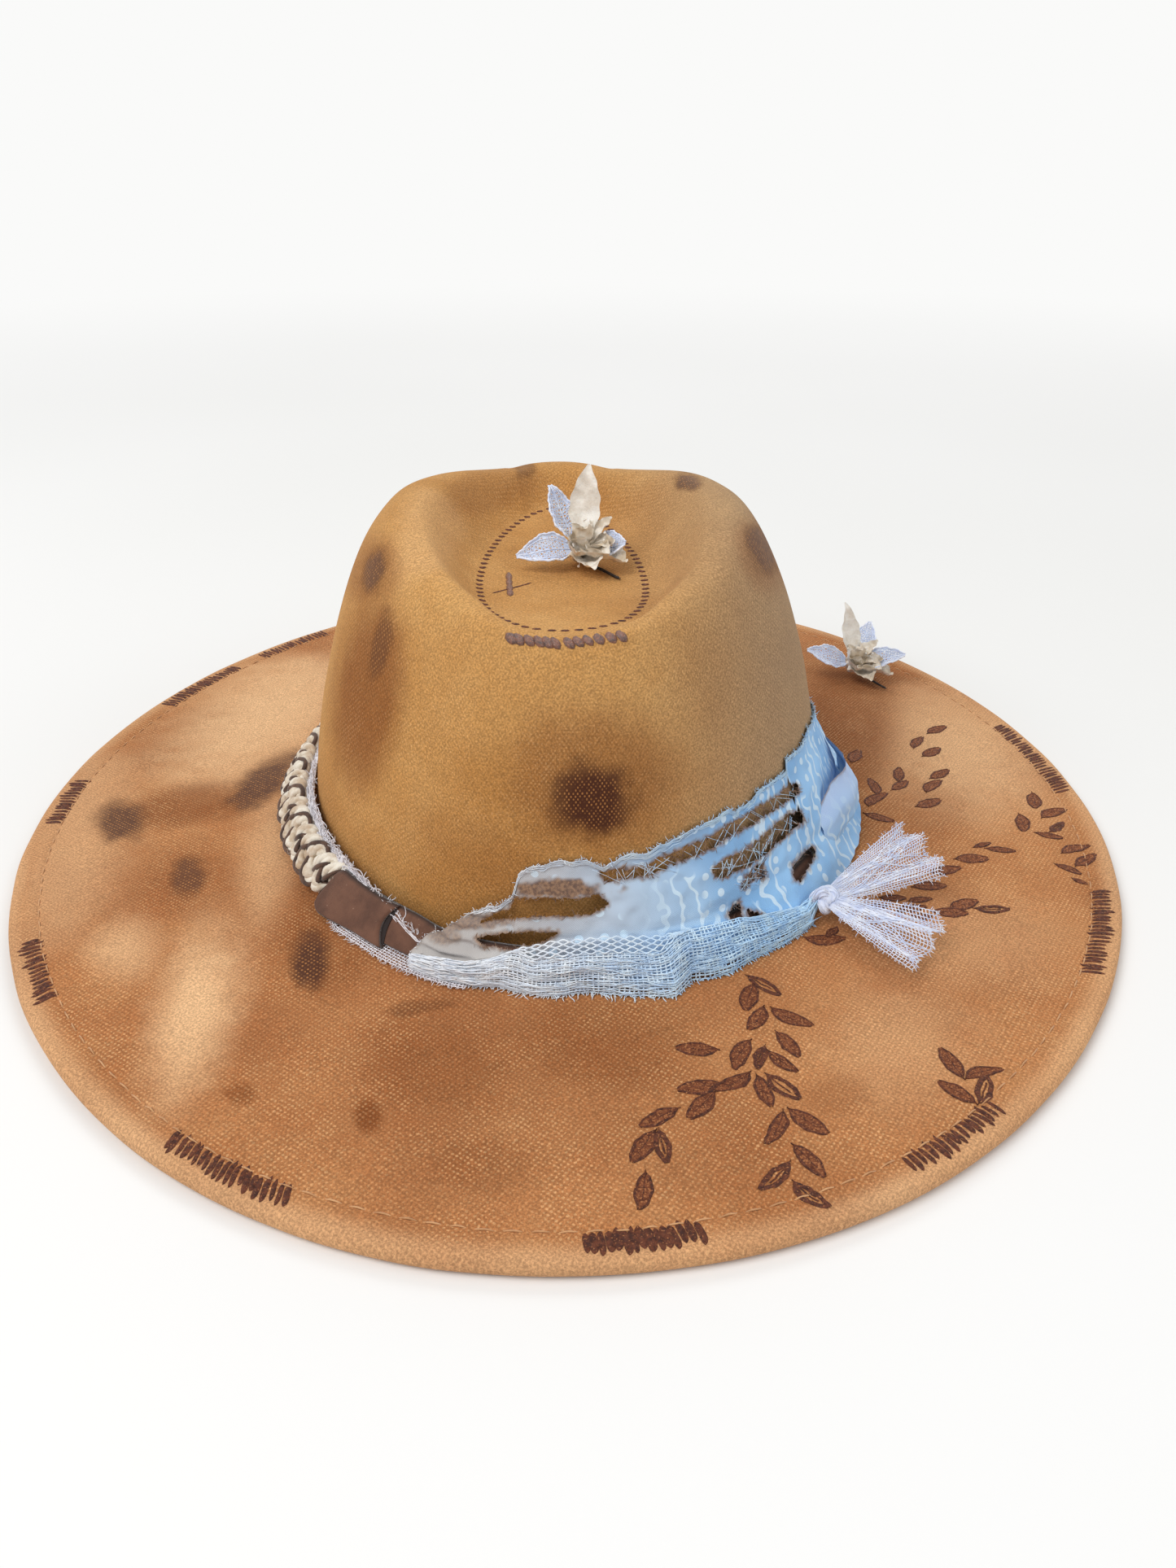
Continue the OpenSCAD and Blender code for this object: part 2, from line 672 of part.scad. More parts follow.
crown_petals = [[205, 12, -35], [128, 42, 0], [-25, 10, 35]];
brim_petals = [[330, 18, 30], [185, 15, -30], [60, 25, 0]];
crown_cream = [75, 62, 0];
brim_cream = [120, 66, 0];
module crown_flower_petals() { color("white") on_crown() lace_petals(crown_petals); }
module crown_flower_cream_petal() { color("cornsilk") on_crown() cream_petal(crown_cream); }
module crown_flower_centre() { color("tan") on_crown() flower_centre(); }
module crown_flower_stem() { color("black") on_crown() flower_stem(crown_stem_turn, crown_stem_tilt); }
module brim_flower_petals() { color("white") on_brim() lace_petals(brim_petals); }
module brim_flower_cream_petal() { color("cornsilk") on_brim() cream_petal(brim_cream); }
module brim_flower_centre() { color("tan") on_brim() flower_centre(); }
module brim_flower_stem() { color("black") on_brim() flower_stem(brim_flower_turn - 90, 0); }

crown();
brim();
brim_wire();
wire_joiner();
sweatband();
gauze_band();
braid_band();
suede_keeper();
suede_strap();
bandana_wrap();
bandana_loop();
lace_wrap();
lace_knot();
lace_tail_upper();
lace_tail_lower();
crown_flower_petals();
crown_flower_cream_petal();
crown_flower_centre();
crown_flower_stem();
brim_flower_petals();
brim_flower_cream_petal();
brim_flower_centre();
brim_flower_stem();
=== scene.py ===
import math
import bpy
import numpy as np
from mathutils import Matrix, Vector
from mathutils.bvhtree import BVHTree


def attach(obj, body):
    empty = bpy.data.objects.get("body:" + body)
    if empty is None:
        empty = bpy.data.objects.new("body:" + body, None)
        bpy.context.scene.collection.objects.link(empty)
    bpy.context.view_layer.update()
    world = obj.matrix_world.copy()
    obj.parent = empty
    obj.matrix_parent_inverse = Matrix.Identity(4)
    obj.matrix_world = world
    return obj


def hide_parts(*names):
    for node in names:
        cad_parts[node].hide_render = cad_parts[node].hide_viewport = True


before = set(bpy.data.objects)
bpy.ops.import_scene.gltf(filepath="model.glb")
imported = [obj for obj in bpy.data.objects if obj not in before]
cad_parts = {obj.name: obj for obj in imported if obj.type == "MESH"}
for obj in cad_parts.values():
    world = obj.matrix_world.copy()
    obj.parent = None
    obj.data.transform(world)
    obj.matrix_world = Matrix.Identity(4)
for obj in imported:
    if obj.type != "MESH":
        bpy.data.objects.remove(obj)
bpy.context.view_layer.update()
rng = np.random.default_rng(11)

# All shapes are worked out in mm, in the frame of the part: X right, Y front, Z up.
MM = 0.001

# Sizes of the part
HALF_WIDTH, HALF_LENGTH, END_RADIUS = 87.0, 104.0, 71.0
BRIM_REACH, BRIM_PLY, HEM_WIDTH, HEM_THICK, BRIM_RISE = 97.0, 2.4, 14.0, 5.0, 4.0
COLLAR_FACE, COLLAR_BACK, COLLAR_HEIGHT = -3.3, -4.7, 8.0
STITCH_INSET = 9.0
FELT = 2.2
SIDE_CREST, FRONT_CREST, BACK_CREST = 112.0, 104.0, 101.0
SIDE_INSET, FRONT_INSET, BACK_INSET = 41.0, 32.0, 18.0
WALL_LEAN, SHOULDER_RUN, SHOULDER_RISE = 0.48, 3.4, 2.2
FLOOR_HALF_WIDTH, FLOOR_HALF_LENGTH, FLOOR_SHIFT, FLOOR_TAPER = 30.0, 65.0, 15.0, 0.3
FLOOR_HEIGHT, FLOOR_RIM, FLOOR_BACK_RIM = 93.0, 1.0, 6.5
PINCH_TURN, PINCH_SPREAD, PINCH_DEPTH, PINCH_DROP = 36.0, 20.0, 9.0, 1.0
GAUZE_LOW, GAUZE_TOP, GAUZE_GAP, BAND_SPLAY = 9.3, 22.3, 0.7, 9.0
BRAID_MIDDLE, BRAID_SWING, BRAID_GAP = 15.8, 4.1, 3.4
BRAID_LEFT, BRAID_RIGHT = 215.0, 328.0
KEEPER_START, KEEPER_END, KEEPER_LOW, KEEPER_TOP, KEEPER_GAP = 215.2, 229.0, 9.45, 19.95, 3.0
STRAP_START, STRAP_LOW, STRAP_TOP, STRAP_GAP, SUEDE_THICK = 218.0, 10.7, 18.7, 1.25, 1.6
CLOTH_START, CLOTH_END, CLOTH_LOW, CLOTH_GAP = 236.0, 405.0, 9.6, 6.3
LOOP_START, LOOP_END, LOOP_BULGE, LOOP_LOW, LOOP_TOP = 327.0, 354.0, 9.0, 12.3, 42.3
LACE_START, LACE_END, LACE_GAP = 236.5, 318.0, 7.2
KNOT = np.array([74.04, -83.97, 15.0])
KNOT_RADIUS = 4.8
TAIL_WIDTH, TAIL_ROOT, TAIL_REACH, TAIL_PLEATS = 22.0, 0.18, 4.8, 2
UPPER_TURN, UPPER_TILT, UPPER_ROLL, UPPER_LENGTH = 27.0, 9.0, 20.0, 36.0
LOWER_TURN, LOWER_TILT, LOWER_ROLL, LOWER_LENGTH = -37.0, -4.0, 18.0, 29.0
CROWN_FLOWER = np.array([5.0, -9.0, 97.7])
BRIM_FLOWER_TURN, BRIM_FLOWER_OUT = 32.0, 66.0

# Camera of the photograph: place in mm, tilt and turn in degrees, focal length in pixels
PHOTO_WIDTH, PHOTO_HEIGHT, PHOTO_FOCAL = 1445.0, 1927.0, 1445.0
CAMERA_PLACE = np.array([-6.9, -366.4, 217.7])
CAMERA_DOWN, CAMERA_TURN = 29.8, 2.23

END_SHIFT = HALF_LENGTH - END_RADIUS
SIDE_RADIUS = (HALF_WIDTH**2 + END_SHIFT**2 - END_RADIUS**2) / (2 * (HALF_WIDTH - END_RADIUS))
SIDE_SHIFT = SIDE_RADIUS - HALF_WIDTH
JOIN = math.degrees(math.atan2(END_SHIFT, SIDE_SHIFT))
EDGE_START = BRIM_REACH - HEM_THICK / 2
HEM_LINE = BRIM_REACH - STITCH_INSET
SEAT = HEM_THICK + BRIM_RISE


# Shapes


def mix(a, b, t):
    return a + (b - a) * t


def ease(t):
    return (1 - np.cos(np.pi * np.clip(t, 0, 1))) / 2


def smooth(low, high, x):
    t = np.clip((x - low) / (high - low), 0, 1)
    return t * t * (3 - 2 * t)


def unit(v):
    return v / np.maximum(np.linalg.norm(v, axis=-1, keepdims=True), 1e-9)


def points(*xyz):
    return np.stack(np.broadcast_arrays(*[np.asarray(c, float) for c in xyz]), -1)


def cos_sin(degrees):
    a = math.radians(degrees)
    return math.cos(a), math.sin(a)


def oval(turn, out):
    """Point at a turn round the head oval, some distance out from it."""
    turn, out = np.broadcast_arrays(np.asarray(turn, float), np.asarray(out, float))
    lap = (turn + JOIN) % 360 - JOIN
    side = (lap < JOIN) | ((lap >= 180 - JOIN) & (lap < 180 + JOIN))
    right, front = lap < JOIN, (lap >= JOIN) & (lap < 180 - JOIN)
    cx = np.where(side, np.where(right, -SIDE_SHIFT, SIDE_SHIFT), 0)
    cy = np.where(side, 0, np.where(front, END_SHIFT, -END_SHIFT))
    r = np.where(side, SIDE_RADIUS, END_RADIUS) + out
    a = np.radians(turn)
    return cx + r * np.cos(a), cy + r * np.sin(a)


def turn_and_out(x, y):
    """Turn and distance out from the head oval of a point outside it."""
    x, y = np.asarray(x, float), np.asarray(y, float)
    to_side = np.abs(x) + SIDE_SHIFT
    tilt = np.degrees(np.arctan2(np.abs(y), to_side))
    side = tilt <= JOIN
    end = np.abs(y) - END_SHIFT
    a = np.where(side, tilt, np.degrees(np.arctan2(end, np.abs(x))))
    out = np.where(side, np.hypot(to_side, y) - SIDE_RADIUS, np.hypot(x, end) - END_RADIUS)
    a = np.where(x < 0, 180 - a, a)
    return np.where(y < 0, 360 - a, a) % 360, out


def brim_top(out):
    """Height of the brim's upper face, down over the round edge."""
    flat = HEM_THICK + BRIM_RISE * np.maximum(0, 1 - np.maximum(0, out) / EDGE_START) ** 2
    past = np.clip((out - EDGE_START) / (HEM_THICK / 2), 0, 1)
    return np.where(out <= EDGE_START, flat, HEM_THICK / 2 * (1 + np.sqrt(1 - past**2)))


def around(turn, side, front, back):
    a = np.radians(turn)
    return side * np.cos(a) ** 2 + np.where(np.sin(a) > 0, front, back) * np.sin(a) ** 2


def pinch(turn):
    lap = (turn + JOIN) % 360 - JOIN
    return sum(np.exp(-(((lap - 90 - way * PINCH_TURN) / PINCH_SPREAD) ** 2)) for way in (-1, 1))


def crest_inset(turn):
    return around(turn, SIDE_INSET, FRONT_INSET, BACK_INSET) + PINCH_DEPTH * pinch(turn)


def crest_height(turn):
    return around(turn, SIDE_CREST, FRONT_CREST, BACK_CREST) - PINCH_DROP * pinch(turn)


def wall_inset(rise):
    tilt = np.arcsin(np.minimum(1, rise ** (SHOULDER_RISE / 2)))
    return WALL_LEAN * rise**1.5 + (1 - WALL_LEAN) * (1 - np.cos(tilt) ** (2 / SHOULDER_RUN))


def wall_out(turn, z):
    """Distance out from the head oval of the crown's wall at a height."""
    rise = np.maximum(0, z - SEAT) / (crest_height(turn) - SEAT)
    return -crest_inset(turn) * wall_inset(rise)


def splay(z):
    """How far the band stands out over the brim at a height."""
    return BAND_SPLAY * np.clip((GAUZE_TOP - z) / (GAUZE_TOP - GAUZE_LOW), 0, 1)


def on_band(turn, z, gap):
    """Point of the band, which leans on the crown at its top and splays out at its foot."""
    x, y = oval(turn, wall_out(turn, z) + splay(z) + gap)
    return points(x, y, z)


def crown_point(turn, s):
    """Outer face of the crown: wall for s up to 1, slope into the dent up to 2, floor of the dent up to 3."""
    turn, s = np.broadcast_arrays(np.asarray(turn, float), np.asarray(s, float))
    rise = np.sin(np.radians(90 * np.clip(s, 0, 1))) ** (2 / SHOULDER_RISE)
    x, y = oval(turn, -crest_inset(turn) * wall_inset(rise))
    wall = points(x, y, mix(SEAT, crest_height(turn), rise))
    a = np.radians(turn)
    edge = points(
        FLOOR_HALF_WIDTH * np.cos(a) * (1 - FLOOR_TAPER * (1 + np.sin(a)) / 2),
        FLOOR_HALF_LENGTH * np.sin(a) - FLOOR_SHIFT,
        FLOOR_HEIGHT + around(turn, FLOOR_RIM, FLOOR_RIM, FLOOR_BACK_RIM),
    )
    t = np.clip(s - 1, 0, 1)
    slope = mix(wall, edge, points(t, t, ease(t)))
    u = np.clip(s - 2, 0, 1)
    floor = points(
        mix(edge[..., 0], 0, u),
        mix(edge[..., 1], -FLOOR_SHIFT, u),
        mix(FLOOR_HEIGHT, edge[..., 2], (1 - u) ** 2),
    )
    s = s[..., None]
    return np.where(s <= 1, wall, np.where(s <= 2, slope, floor))


# Steps in turn and row over which a normal is taken, and the last row that has one
NORMAL_TURN, NORMAL_ROW, LAST_ROW = 0.4, 0.01, 2.999


def crown_normal(turn, s):
    across = crown_point(turn + NORMAL_TURN, s) - crown_point(turn - NORMAL_TURN, s)
    above = crown_point(turn, np.minimum(s + NORMAL_ROW, LAST_ROW))
    return unit(np.cross(across, above - crown_point(turn, np.maximum(s - NORMAL_ROW, 0))))


# Whole numbers that turn the corners of the noise's cells into evenly spread values
HASH_X, HASH_Y, HASH_Z, HASH_SEED, HASH_STIR = 374761393, 668265263, 2147483647, 144269, 1274126177
HASH_BITS, VALUE_BITS, SEED_SHIFT = 0xFFFFFFFF, 0xFFFF, 37.3


def noise(p, size, seed=0):
    """Smooth noise from -1 to 1 at points p, with features of a size in mm."""
    q = np.asarray(p, float) / size + SEED_SHIFT * seed
    low = np.floor(q)
    t = q - low
    t = t * t * (3 - 2 * t)
    cell = low.astype(np.int64)
    total = 0.0
    for corner in range(8):
        step = np.array([corner & 1, corner >> 1 & 1, corner >> 2])
        i = cell + step
        h = (i[..., 0] * HASH_X + i[..., 1] * HASH_Y + i[..., 2] * HASH_Z + seed * HASH_SEED) & HASH_BITS
        h = ((h ^ (h >> 13)) * HASH_STIR) & HASH_BITS
        value = ((h ^ (h >> 16)) & VALUE_BITS) / (VALUE_BITS / 2) - 1
        total = total + value * np.prod(np.where(step, t, 1 - t), -1)
    return total


# The photograph's camera

DOWN_COS, DOWN_SIN = cos_sin(CAMERA_DOWN)
TURN_COS, TURN_SIN = cos_sin(CAMERA_TURN)
LOOK = np.array([TURN_SIN * DOWN_COS, TURN_COS * DOWN_COS, -DOWN_SIN])
RIGHT = np.array([TURN_COS, -TURN_SIN, 0])
UPWARD = np.cross(RIGHT, LOOK)


def in_photo(p):
    """Pixel of the photograph at which a point shows."""
    away = np.asarray(p, float) - CAMERA_PLACE
    depth = away @ LOOK
    across = PHOTO_WIDTH / 2 + PHOTO_FOCAL * (away @ RIGHT) / depth
    return points(across, PHOTO_HEIGHT / 2 - PHOTO_FOCAL * (away @ UPWARD) / depth)


def sight(px, py):
    """Direction in which the camera sees a pixel."""
    aside = RIGHT * (px - PHOTO_WIDTH / 2) / PHOTO_FOCAL
    return unit(LOOK + aside - UPWARD * (py - PHOTO_HEIGHT / 2) / PHOTO_FOCAL)


def brim_at(px, py):
    """Turn and distance out of the point of the brim that shows at a pixel."""
    way, z = sight(px, py), HEM_THICK
    for _ in range(6):
        p = CAMERA_PLACE + way * (z - CAMERA_PLACE[2]) / way[2]
        turn, out = turn_and_out(p[0], p[1])
        z = float(brim_top(out))
    return float(turn), float(out)


def between(one, other, cols, wrap=False):
    """Four-sided faces between rows of points that start at the numbers one and other."""
    c = np.arange(cols if wrap else cols - 1)
    n = (c + 1) % cols
    return np.stack([one + c, one + n, other + n, other + c], -1).reshape(-1, 4)


def grid(rows, cols, wrap=False, first=0):
    """Four-sided faces of rows of points; wrap joins the last column to the first."""
    row = first + np.arange(rows - 1)[:, None] * cols
    return between(row, row + cols, cols, wrap)


# A coarse crown, to find the point that shows at a pixel
COARSE_COLS, COARSE_ROWS, COARSE_END = 181, 40, 2.98
coarse_turns = np.linspace(0, 360, COARSE_COLS)
coarse_rows = np.concatenate([np.linspace(0, 1, COARSE_ROWS), np.linspace(1, COARSE_END, COARSE_ROWS)[1:]])
coarse = crown_point(coarse_turns[None, :], coarse_rows[:, None])
coarse_faces = grid(len(coarse_rows), COARSE_COLS)
crown_tree = BVHTree.FromPolygons(coarse.reshape(-1, 3).tolist(), coarse_faces.tolist())


def crown_at(px, py):
    """Point of the crown that shows at a pixel."""
    return np.array(crown_tree.ray_cast(Vector(CAMERA_PLACE), Vector(sight(px, py)))[0])


# Meshes


def build(name, verts, faces, material, body, node=None, slot=None, uv=None, marks=None):
    """A piece of the object from points in mm, faces as arrays of corners, and per-point values."""
    faces = [f for f in (faces if isinstance(faces, list) else [faces]) if len(f)]
    verts = np.asarray(verts, float).reshape(-1, 3)
    corners = np.concatenate([f.ravel() for f in faces]).astype(np.int32)
    sizes = np.concatenate([np.full(len(f), f.shape[1]) for f in faces])
    mesh = bpy.data.meshes.new(name)
    mesh.vertices.add(len(verts))
    mesh.vertices.foreach_set("co", (verts * MM).astype(np.float32).ravel())
    mesh.loops.add(len(corners))
    mesh.loops.foreach_set("vertex_index", corners)
    mesh.polygons.add(len(sizes))
    mesh.polygons.foreach_set("loop_start", np.concatenate([[0], np.cumsum(sizes)[:-1]]).astype(np.int32))
    mesh.update(calc_edges=True)
    mesh.polygons.foreach_set("use_smooth", np.ones(len(sizes), bool))
    if uv is not None:
        layer = mesh.uv_layers.new(name="cloth")
        layer.data.foreach_set("uv", np.asarray(uv, np.float32).reshape(-1, 2)[corners].ravel())
    for mark, values in (marks or {}).items():
        attribute = mesh.attributes.new(mark, "FLOAT", "POINT")
        attribute.data.foreach_set("value", np.asarray(values, np.float32).ravel())
    mesh.materials.append(material)
    mesh.validate()
    obj = bpy.data.objects.new(name, mesh)
    bpy.context.scene.collection.objects.link(obj)
    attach(obj, body)
    if node:
        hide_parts(node)
    return obj


# Share of a thread's length over which it thins at each end, and how thin it gets
TAPER, THIN_END = 0.25, 0.35


class Heap:
    """Points and faces of many small shapes that make one piece."""

    def __init__(self):
        self.verts, self.faces, self.count = [], [], 0

    def add(self, verts, *faces):
        verts = np.asarray(verts, float).reshape(-1, 3)
        self.verts.append(verts)
        self.faces += [f + self.count for f in faces]
        self.count += len(verts)

    def tube(self, path, radius, sides=5, normals=None):
        """A thread along a path, closed at both ends; its sides follow the normals, where they are given."""
        path = np.asarray(path, float)
        along = unit(np.gradient(path, axis=0))
        if normals is None:
            axis = np.eye(3)[np.argmin(np.abs(along).mean(0))]
            normals = np.broadcast_to(axis, path.shape)
        side = unit(np.cross(along, normals))
        rise = np.cross(side, along)
        a = np.arange(sides) * 2 * np.pi / sides
        ring = side[:, None] * np.cos(a)[:, None] + rise[:, None] * np.sin(a)[:, None]
        reach = np.broadcast_to(np.asarray(radius, float), len(path))[:, None, None]
        fan = np.stack([np.zeros(sides - 2, int), np.arange(1, sides - 1), np.arange(2, sides)], -1)
        ends = fan[:, ::-1], fan + (len(path) - 1) * sides
        self.add(path[:, None] + ring * reach, grid(len(path), sides, True), *ends)

    def thin(self, path, radius, sides=3):
        """A thread that thins towards both ends."""
        t = np.linspace(0, 1, len(path))
        share = np.minimum(1, np.minimum(t, 1 - t) / TAPER)
        self.tube(path, radius * (THIN_END + (1 - THIN_END) * share), sides)

    def fray(self, start, way, length, curl, radius, n=8):
        """A loose end of thread that thins."""
        self.thin(loose_end(start, way, length, curl, n), radius)

    def piece(self, name, material, body, **more):
        kinds = [[f for f in self.faces if f.shape[1] == corners] for corners in (3, 4)]
        faces = [np.concatenate(kind) for kind in kinds if kind]
        return build(name, np.concatenate(self.verts), faces, material, body, **more)


def loose_end(start, way, length, curl, n=8):
    """A loose end of thread from a point along a direction, wandering as it goes."""
    t = np.linspace(0, 1, n)[:, None]
    bend = rng.normal(0, curl, 3) * t**2 + rng.normal(0, curl, 3) * 0.4 * np.sin(2 * np.pi * t)
    return start + length * (t * way + bend)


def strayed(along, amount, size, seed, layer=0):
    """How far a thread strays sideways along its way, different for each thread."""
    return amount * noise(points(along, rng.uniform(0, 99), layer), size, seed)


def outward(turn, side, rise):
    """Direction out from the hat at a turn, with shares sideways and upwards."""
    cos, sin = cos_sin(turn)
    return unit(np.array([cos - side * sin, sin + side * cos, rise]))


# Materials


def rgb(r, g, b):
    """Linear colour of an sRGB one."""
    shares = (r / 255, g / 255, b / 255)
    return tuple(c / 12.92 if c <= 0.04045 else ((c + 0.055) / 1.055) ** 2.4 for c in shares) + (1,)


class Shader:
    """Small help for writing a material's nodes."""

    def __init__(self, name, roughness=0.8, **sockets):
        self.material = bpy.data.materials.new(name)
        self.material.use_nodes = True
        self.tree = self.material.node_tree
        self.surface = self.tree.nodes["Principled BSDF"]
        self.set("Roughness", roughness)
        for socket, value in sockets.items():
            self.set(socket.replace("_", " "), value)
        self.place = self.node("ShaderNodeTexCoord").outputs["Object"]

    def node(self, kind, inputs=None, **settings):
        made = self.tree.nodes.new(kind)
        for key, value in settings.items():
            setattr(made, key, value)
        for key, value in (inputs or {}).items():
            self.put(made.inputs[key], value)
        return made

    def put(self, socket, value):
        if isinstance(value, bpy.types.NodeSocket):
            self.tree.links.new(value, socket)
        else:
            socket.default_value = value

    def set(self, socket, value):
        self.put(self.surface.inputs[socket], value)

    def noise(self, size_mm, detail=2.0, rough=0.5):
        inputs = {"Vector": self.place, "Scale": 1 / (size_mm * MM), "Detail": detail, "Roughness": rough}
        return self.node("ShaderNodeTexNoise", inputs).outputs["Fac"]

    def math(self, operation, *values):
        made = self.node("ShaderNodeMath", operation=operation)
        for i, value in enumerate(values):
            self.put(made.inputs[i], value)
        return made.outputs[0]

    def plus(self, a, b):
        return self.math("ADD", a, b)

    def times(self, a, *others):
        for b in others:
            a = self.math("MULTIPLY", a, b)
        return a

    def span(self, value, low, high, to_low=0.0, to_high=1.0):
        inputs = {"Value": value, "From Min": low, "From Max": high, "To Min": to_low, "To Max": to_high}
        return self.node("ShaderNodeMapRange", inputs, interpolation_type="SMOOTHSTEP").outputs["Result"]

    def blend(self, share, a, b, how="MIX"):
        """Mix of two colours, each from a socket or given in sRGB."""
        made = self.node("ShaderNodeMix", data_type="RGBA", blend_type=how)
        for i, value in ((0, share), (6, a), (7, b)):
            self.put(made.inputs[i], rgb(*value) if isinstance(value, tuple) else value)
        return made.outputs[2]

    def shades(self, dark, light, size_mm, detail=2.0, rough=0.5, low=0.3, high=0.7):
        """Colour that drifts between a dark and a light shade."""
        return self.blend(self.span(self.noise(size_mm, detail, rough), low, high), dark, light)

    def mark(self, name):
        return self.node("ShaderNodeAttribute", attribute_name=name).outputs["Fac"]

    def uv(self):
        return self.node("ShaderNodeUVMap", uv_map="cloth").outputs["UV"]

    def split(self, vector):
        made = self.node("ShaderNodeSeparateXYZ", {0: vector})
        return made.outputs[0], made.outputs[1]

    def blue_light_share(self):
        """Share from 0 to 1 across the back of the hat, left to right, by which painted blue light comes in
        towards the right.
        """
        return self.span(self.split(self.place)[0], -35 * MM, 60 * MM)

    def weave(self, period_mm, jitter):
        """Tops of crossing threads, from -1 to 1, on the piece's cloth coordinates in mm."""
        wobble = self.times(self.noise(4.0, 1.0), jitter)
        turns = 2 * math.pi / period_mm
        waves = [self.math("SINE", self.plus(self.times(c, turns), wobble)) for c in self.split(self.uv())]
        return self.times(*waves)

    def done(self, colour, height, strength, distance_mm):
        """The material with its colour, and a bump from a height."""
        inputs = {"Height": height, "Strength": strength, "Distance": distance_mm * MM}
        self.set("Normal", self.node("ShaderNodeBump", inputs).outputs["Normal"])
        self.set("Base Color", colour)
        return self.material


# Colours of wear and of painted light, shade and highlights, in sRGB
PAINTED_COOL_LIGHT, FADED_AND_LIT, SMEAR_AND_SHADE, THREAD_TOP_HIGHLIGHT = (148, 140, 124), (240, 196, 148), (124, 64, 22), (238, 192, 138)
CHARRED, CHARRED_TOP_HIGHLIGHT, BARE_FELT = (70, 34, 16), (190, 130, 72), (172, 114, 72)
SUEDE_SPECKS, SUEDE_CUT_AND_SHADOW = (176, 142, 120), (30, 18, 16)
SINGED_DARK, SINGED_LIGHT, PLAIN_CLOTH = (92, 62, 44), (150, 114, 82), (198, 210, 242)
# Periods in mm of the felt's weave, the cloth's ribs and its printed dots
FELT_WEAVE, CLOTH_RIBS, DOT_STEP = 1.7, 2 * math.pi / 9.5, 6.2


def felt(name, light, dark, warm, weave_strength, cool_light_share=0.0):
    """Napped felt with a fine weave under it, scorched, smeared and faded where the marks say; the weave's
    raised tops carry a painted highlight, some marks are painted light and painted shade, and a share greys
    the right side as painted cool light.
    """
    sheen = {"Sheen_Weight": 0.08, "Sheen_Roughness": 0.45, "Sheen_Tint": rgb(235, 205, 165)}
    s = Shader(name, Specular_IOR_Level=0.22, **sheen)
    mottle = s.span(s.noise(9, 3.0, 0.6), 0.3, 0.75)
    colour = s.blend(s.times(mottle, 0.35), s.shades(dark, light, 55, 3.0, 0.55), warm)
    # Painted cool light: the felt greys towards the right side, where cool light falls on it.
    if cool_light_share:
        right = s.span(s.split(s.place)[0], 5 * MM, 70 * MM, 0.0, cool_light_share)
        colour = s.blend(right, colour, PAINTED_COOL_LIGHT)
    pale, scorch = s.mark("pale"), s.mark("scorch")
    # The pale mark: faded felt on the brim, and painted light on the crown's lit left slope and on the
    # rounded hem.
    colour = s.blend(pale, colour, FADED_AND_LIT)
    # The smear mark: real smears, and painted shade in the dent and on the brim under the keeper.
    colour = s.blend(s.mark("smear_and_shade"), colour, SMEAR_AND_SHADE)
    nap, threads = s.noise(0.55, 2.0, 0.7), s.weave(FELT_WEAVE, 2.6)
    uneven = s.plus(threads, s.times(s.noise(1.2, 1.0), 2.4))
    shown = s.times(s.span(pale, 0.0, 0.6, weave_strength, 0.1), s.span(s.noise(16), 0.35, 0.65, 0.4, 1.0))
    # Painted highlight: the raised tops of the weave are lighter.
    colour = s.blend(s.times(s.span(uneven, 1.45, 2.1), shown), colour, THREAD_TOP_HIGHLIGHT)
    grain = s.span(s.plus(nap, s.times(threads, 0.1 * weave_strength)), 0.3, 0.74, 0.66, 1.22)
    grey = s.node("ShaderNodeCombineColor", {0: grain, 1: grain, 2: grain}).outputs[0]
    colour = s.blend(1.0, colour, grey, "MULTIPLY")
    # Scorched felt is dark, with a painted highlight on the raised thread tops.
    tops, patchy = s.span(threads, 0.1, 0.8), s.span(s.noise(1.7, 2.0), 0.36, 0.6)
    burnt = s.blend(s.times(tops, patchy, 0.7), CHARRED, CHARRED_TOP_HIGHLIGHT)
    s.set("Roughness", s.span(scorch, 0.2, 1.0, 0.92, 0.62))
    height = s.plus(s.times(nap, 1.1), s.times(threads, 0.3 * weave_strength))
    return s.done(s.blend(scorch, colour, burnt), height, 0.55, 0.35)


def burnt_line(name, gloss, dark, light, worn=0.0):
    """Marks drawn with a hot tip: dark and uneven, and glossier where they are thick."""
    s = Shader(name, Specular_IOR_Level=gloss)
    bare = s.span(s.noise(0.5, 2.0), 0.58 - worn, 0.76 - worn)
    colour = s.blend(bare, s.shades(dark, light, 1.1, 3.0, 0.6, 0.32, 0.68), BARE_FELT)
    s.set("Roughness", s.span(s.noise(0.8), 0.3, 0.7, 0.6 - 0.4 * gloss, 0.85 - 0.4 * gloss))
    return s.done(colour, s.noise(0.45, 3.0, 0.7), 0.7, 0.4)


def thread(name, light, dark, size=0.5, through=0.0, right=None):
    """Spun thread: fine fibres and slight changes of shade, with painted blue light in a second colour
    towards the right side.
    """
    s = Shader(name, 0.85, Sheen_Weight=0.25, Sheen_Roughness=0.5)
    shade = s.span(s.noise(size * 6, 3.0, 0.6), 0.3, 0.7)
    colour = s.blend(shade, dark, light)
    if right:
        colour = s.blend(s.blue_light_share(), colour, s.blend(shade, right[1], right[0]))
    if through:
        s.set("Subsurface Weight", through)
        s.set("Subsurface Radius", (0.002, 0.002, 0.002))
        s.set("Subsurface Scale", 0.4)
    return s.done(colour, s.noise(size * 0.4, 2.0, 0.7), 0.5, 0.12)


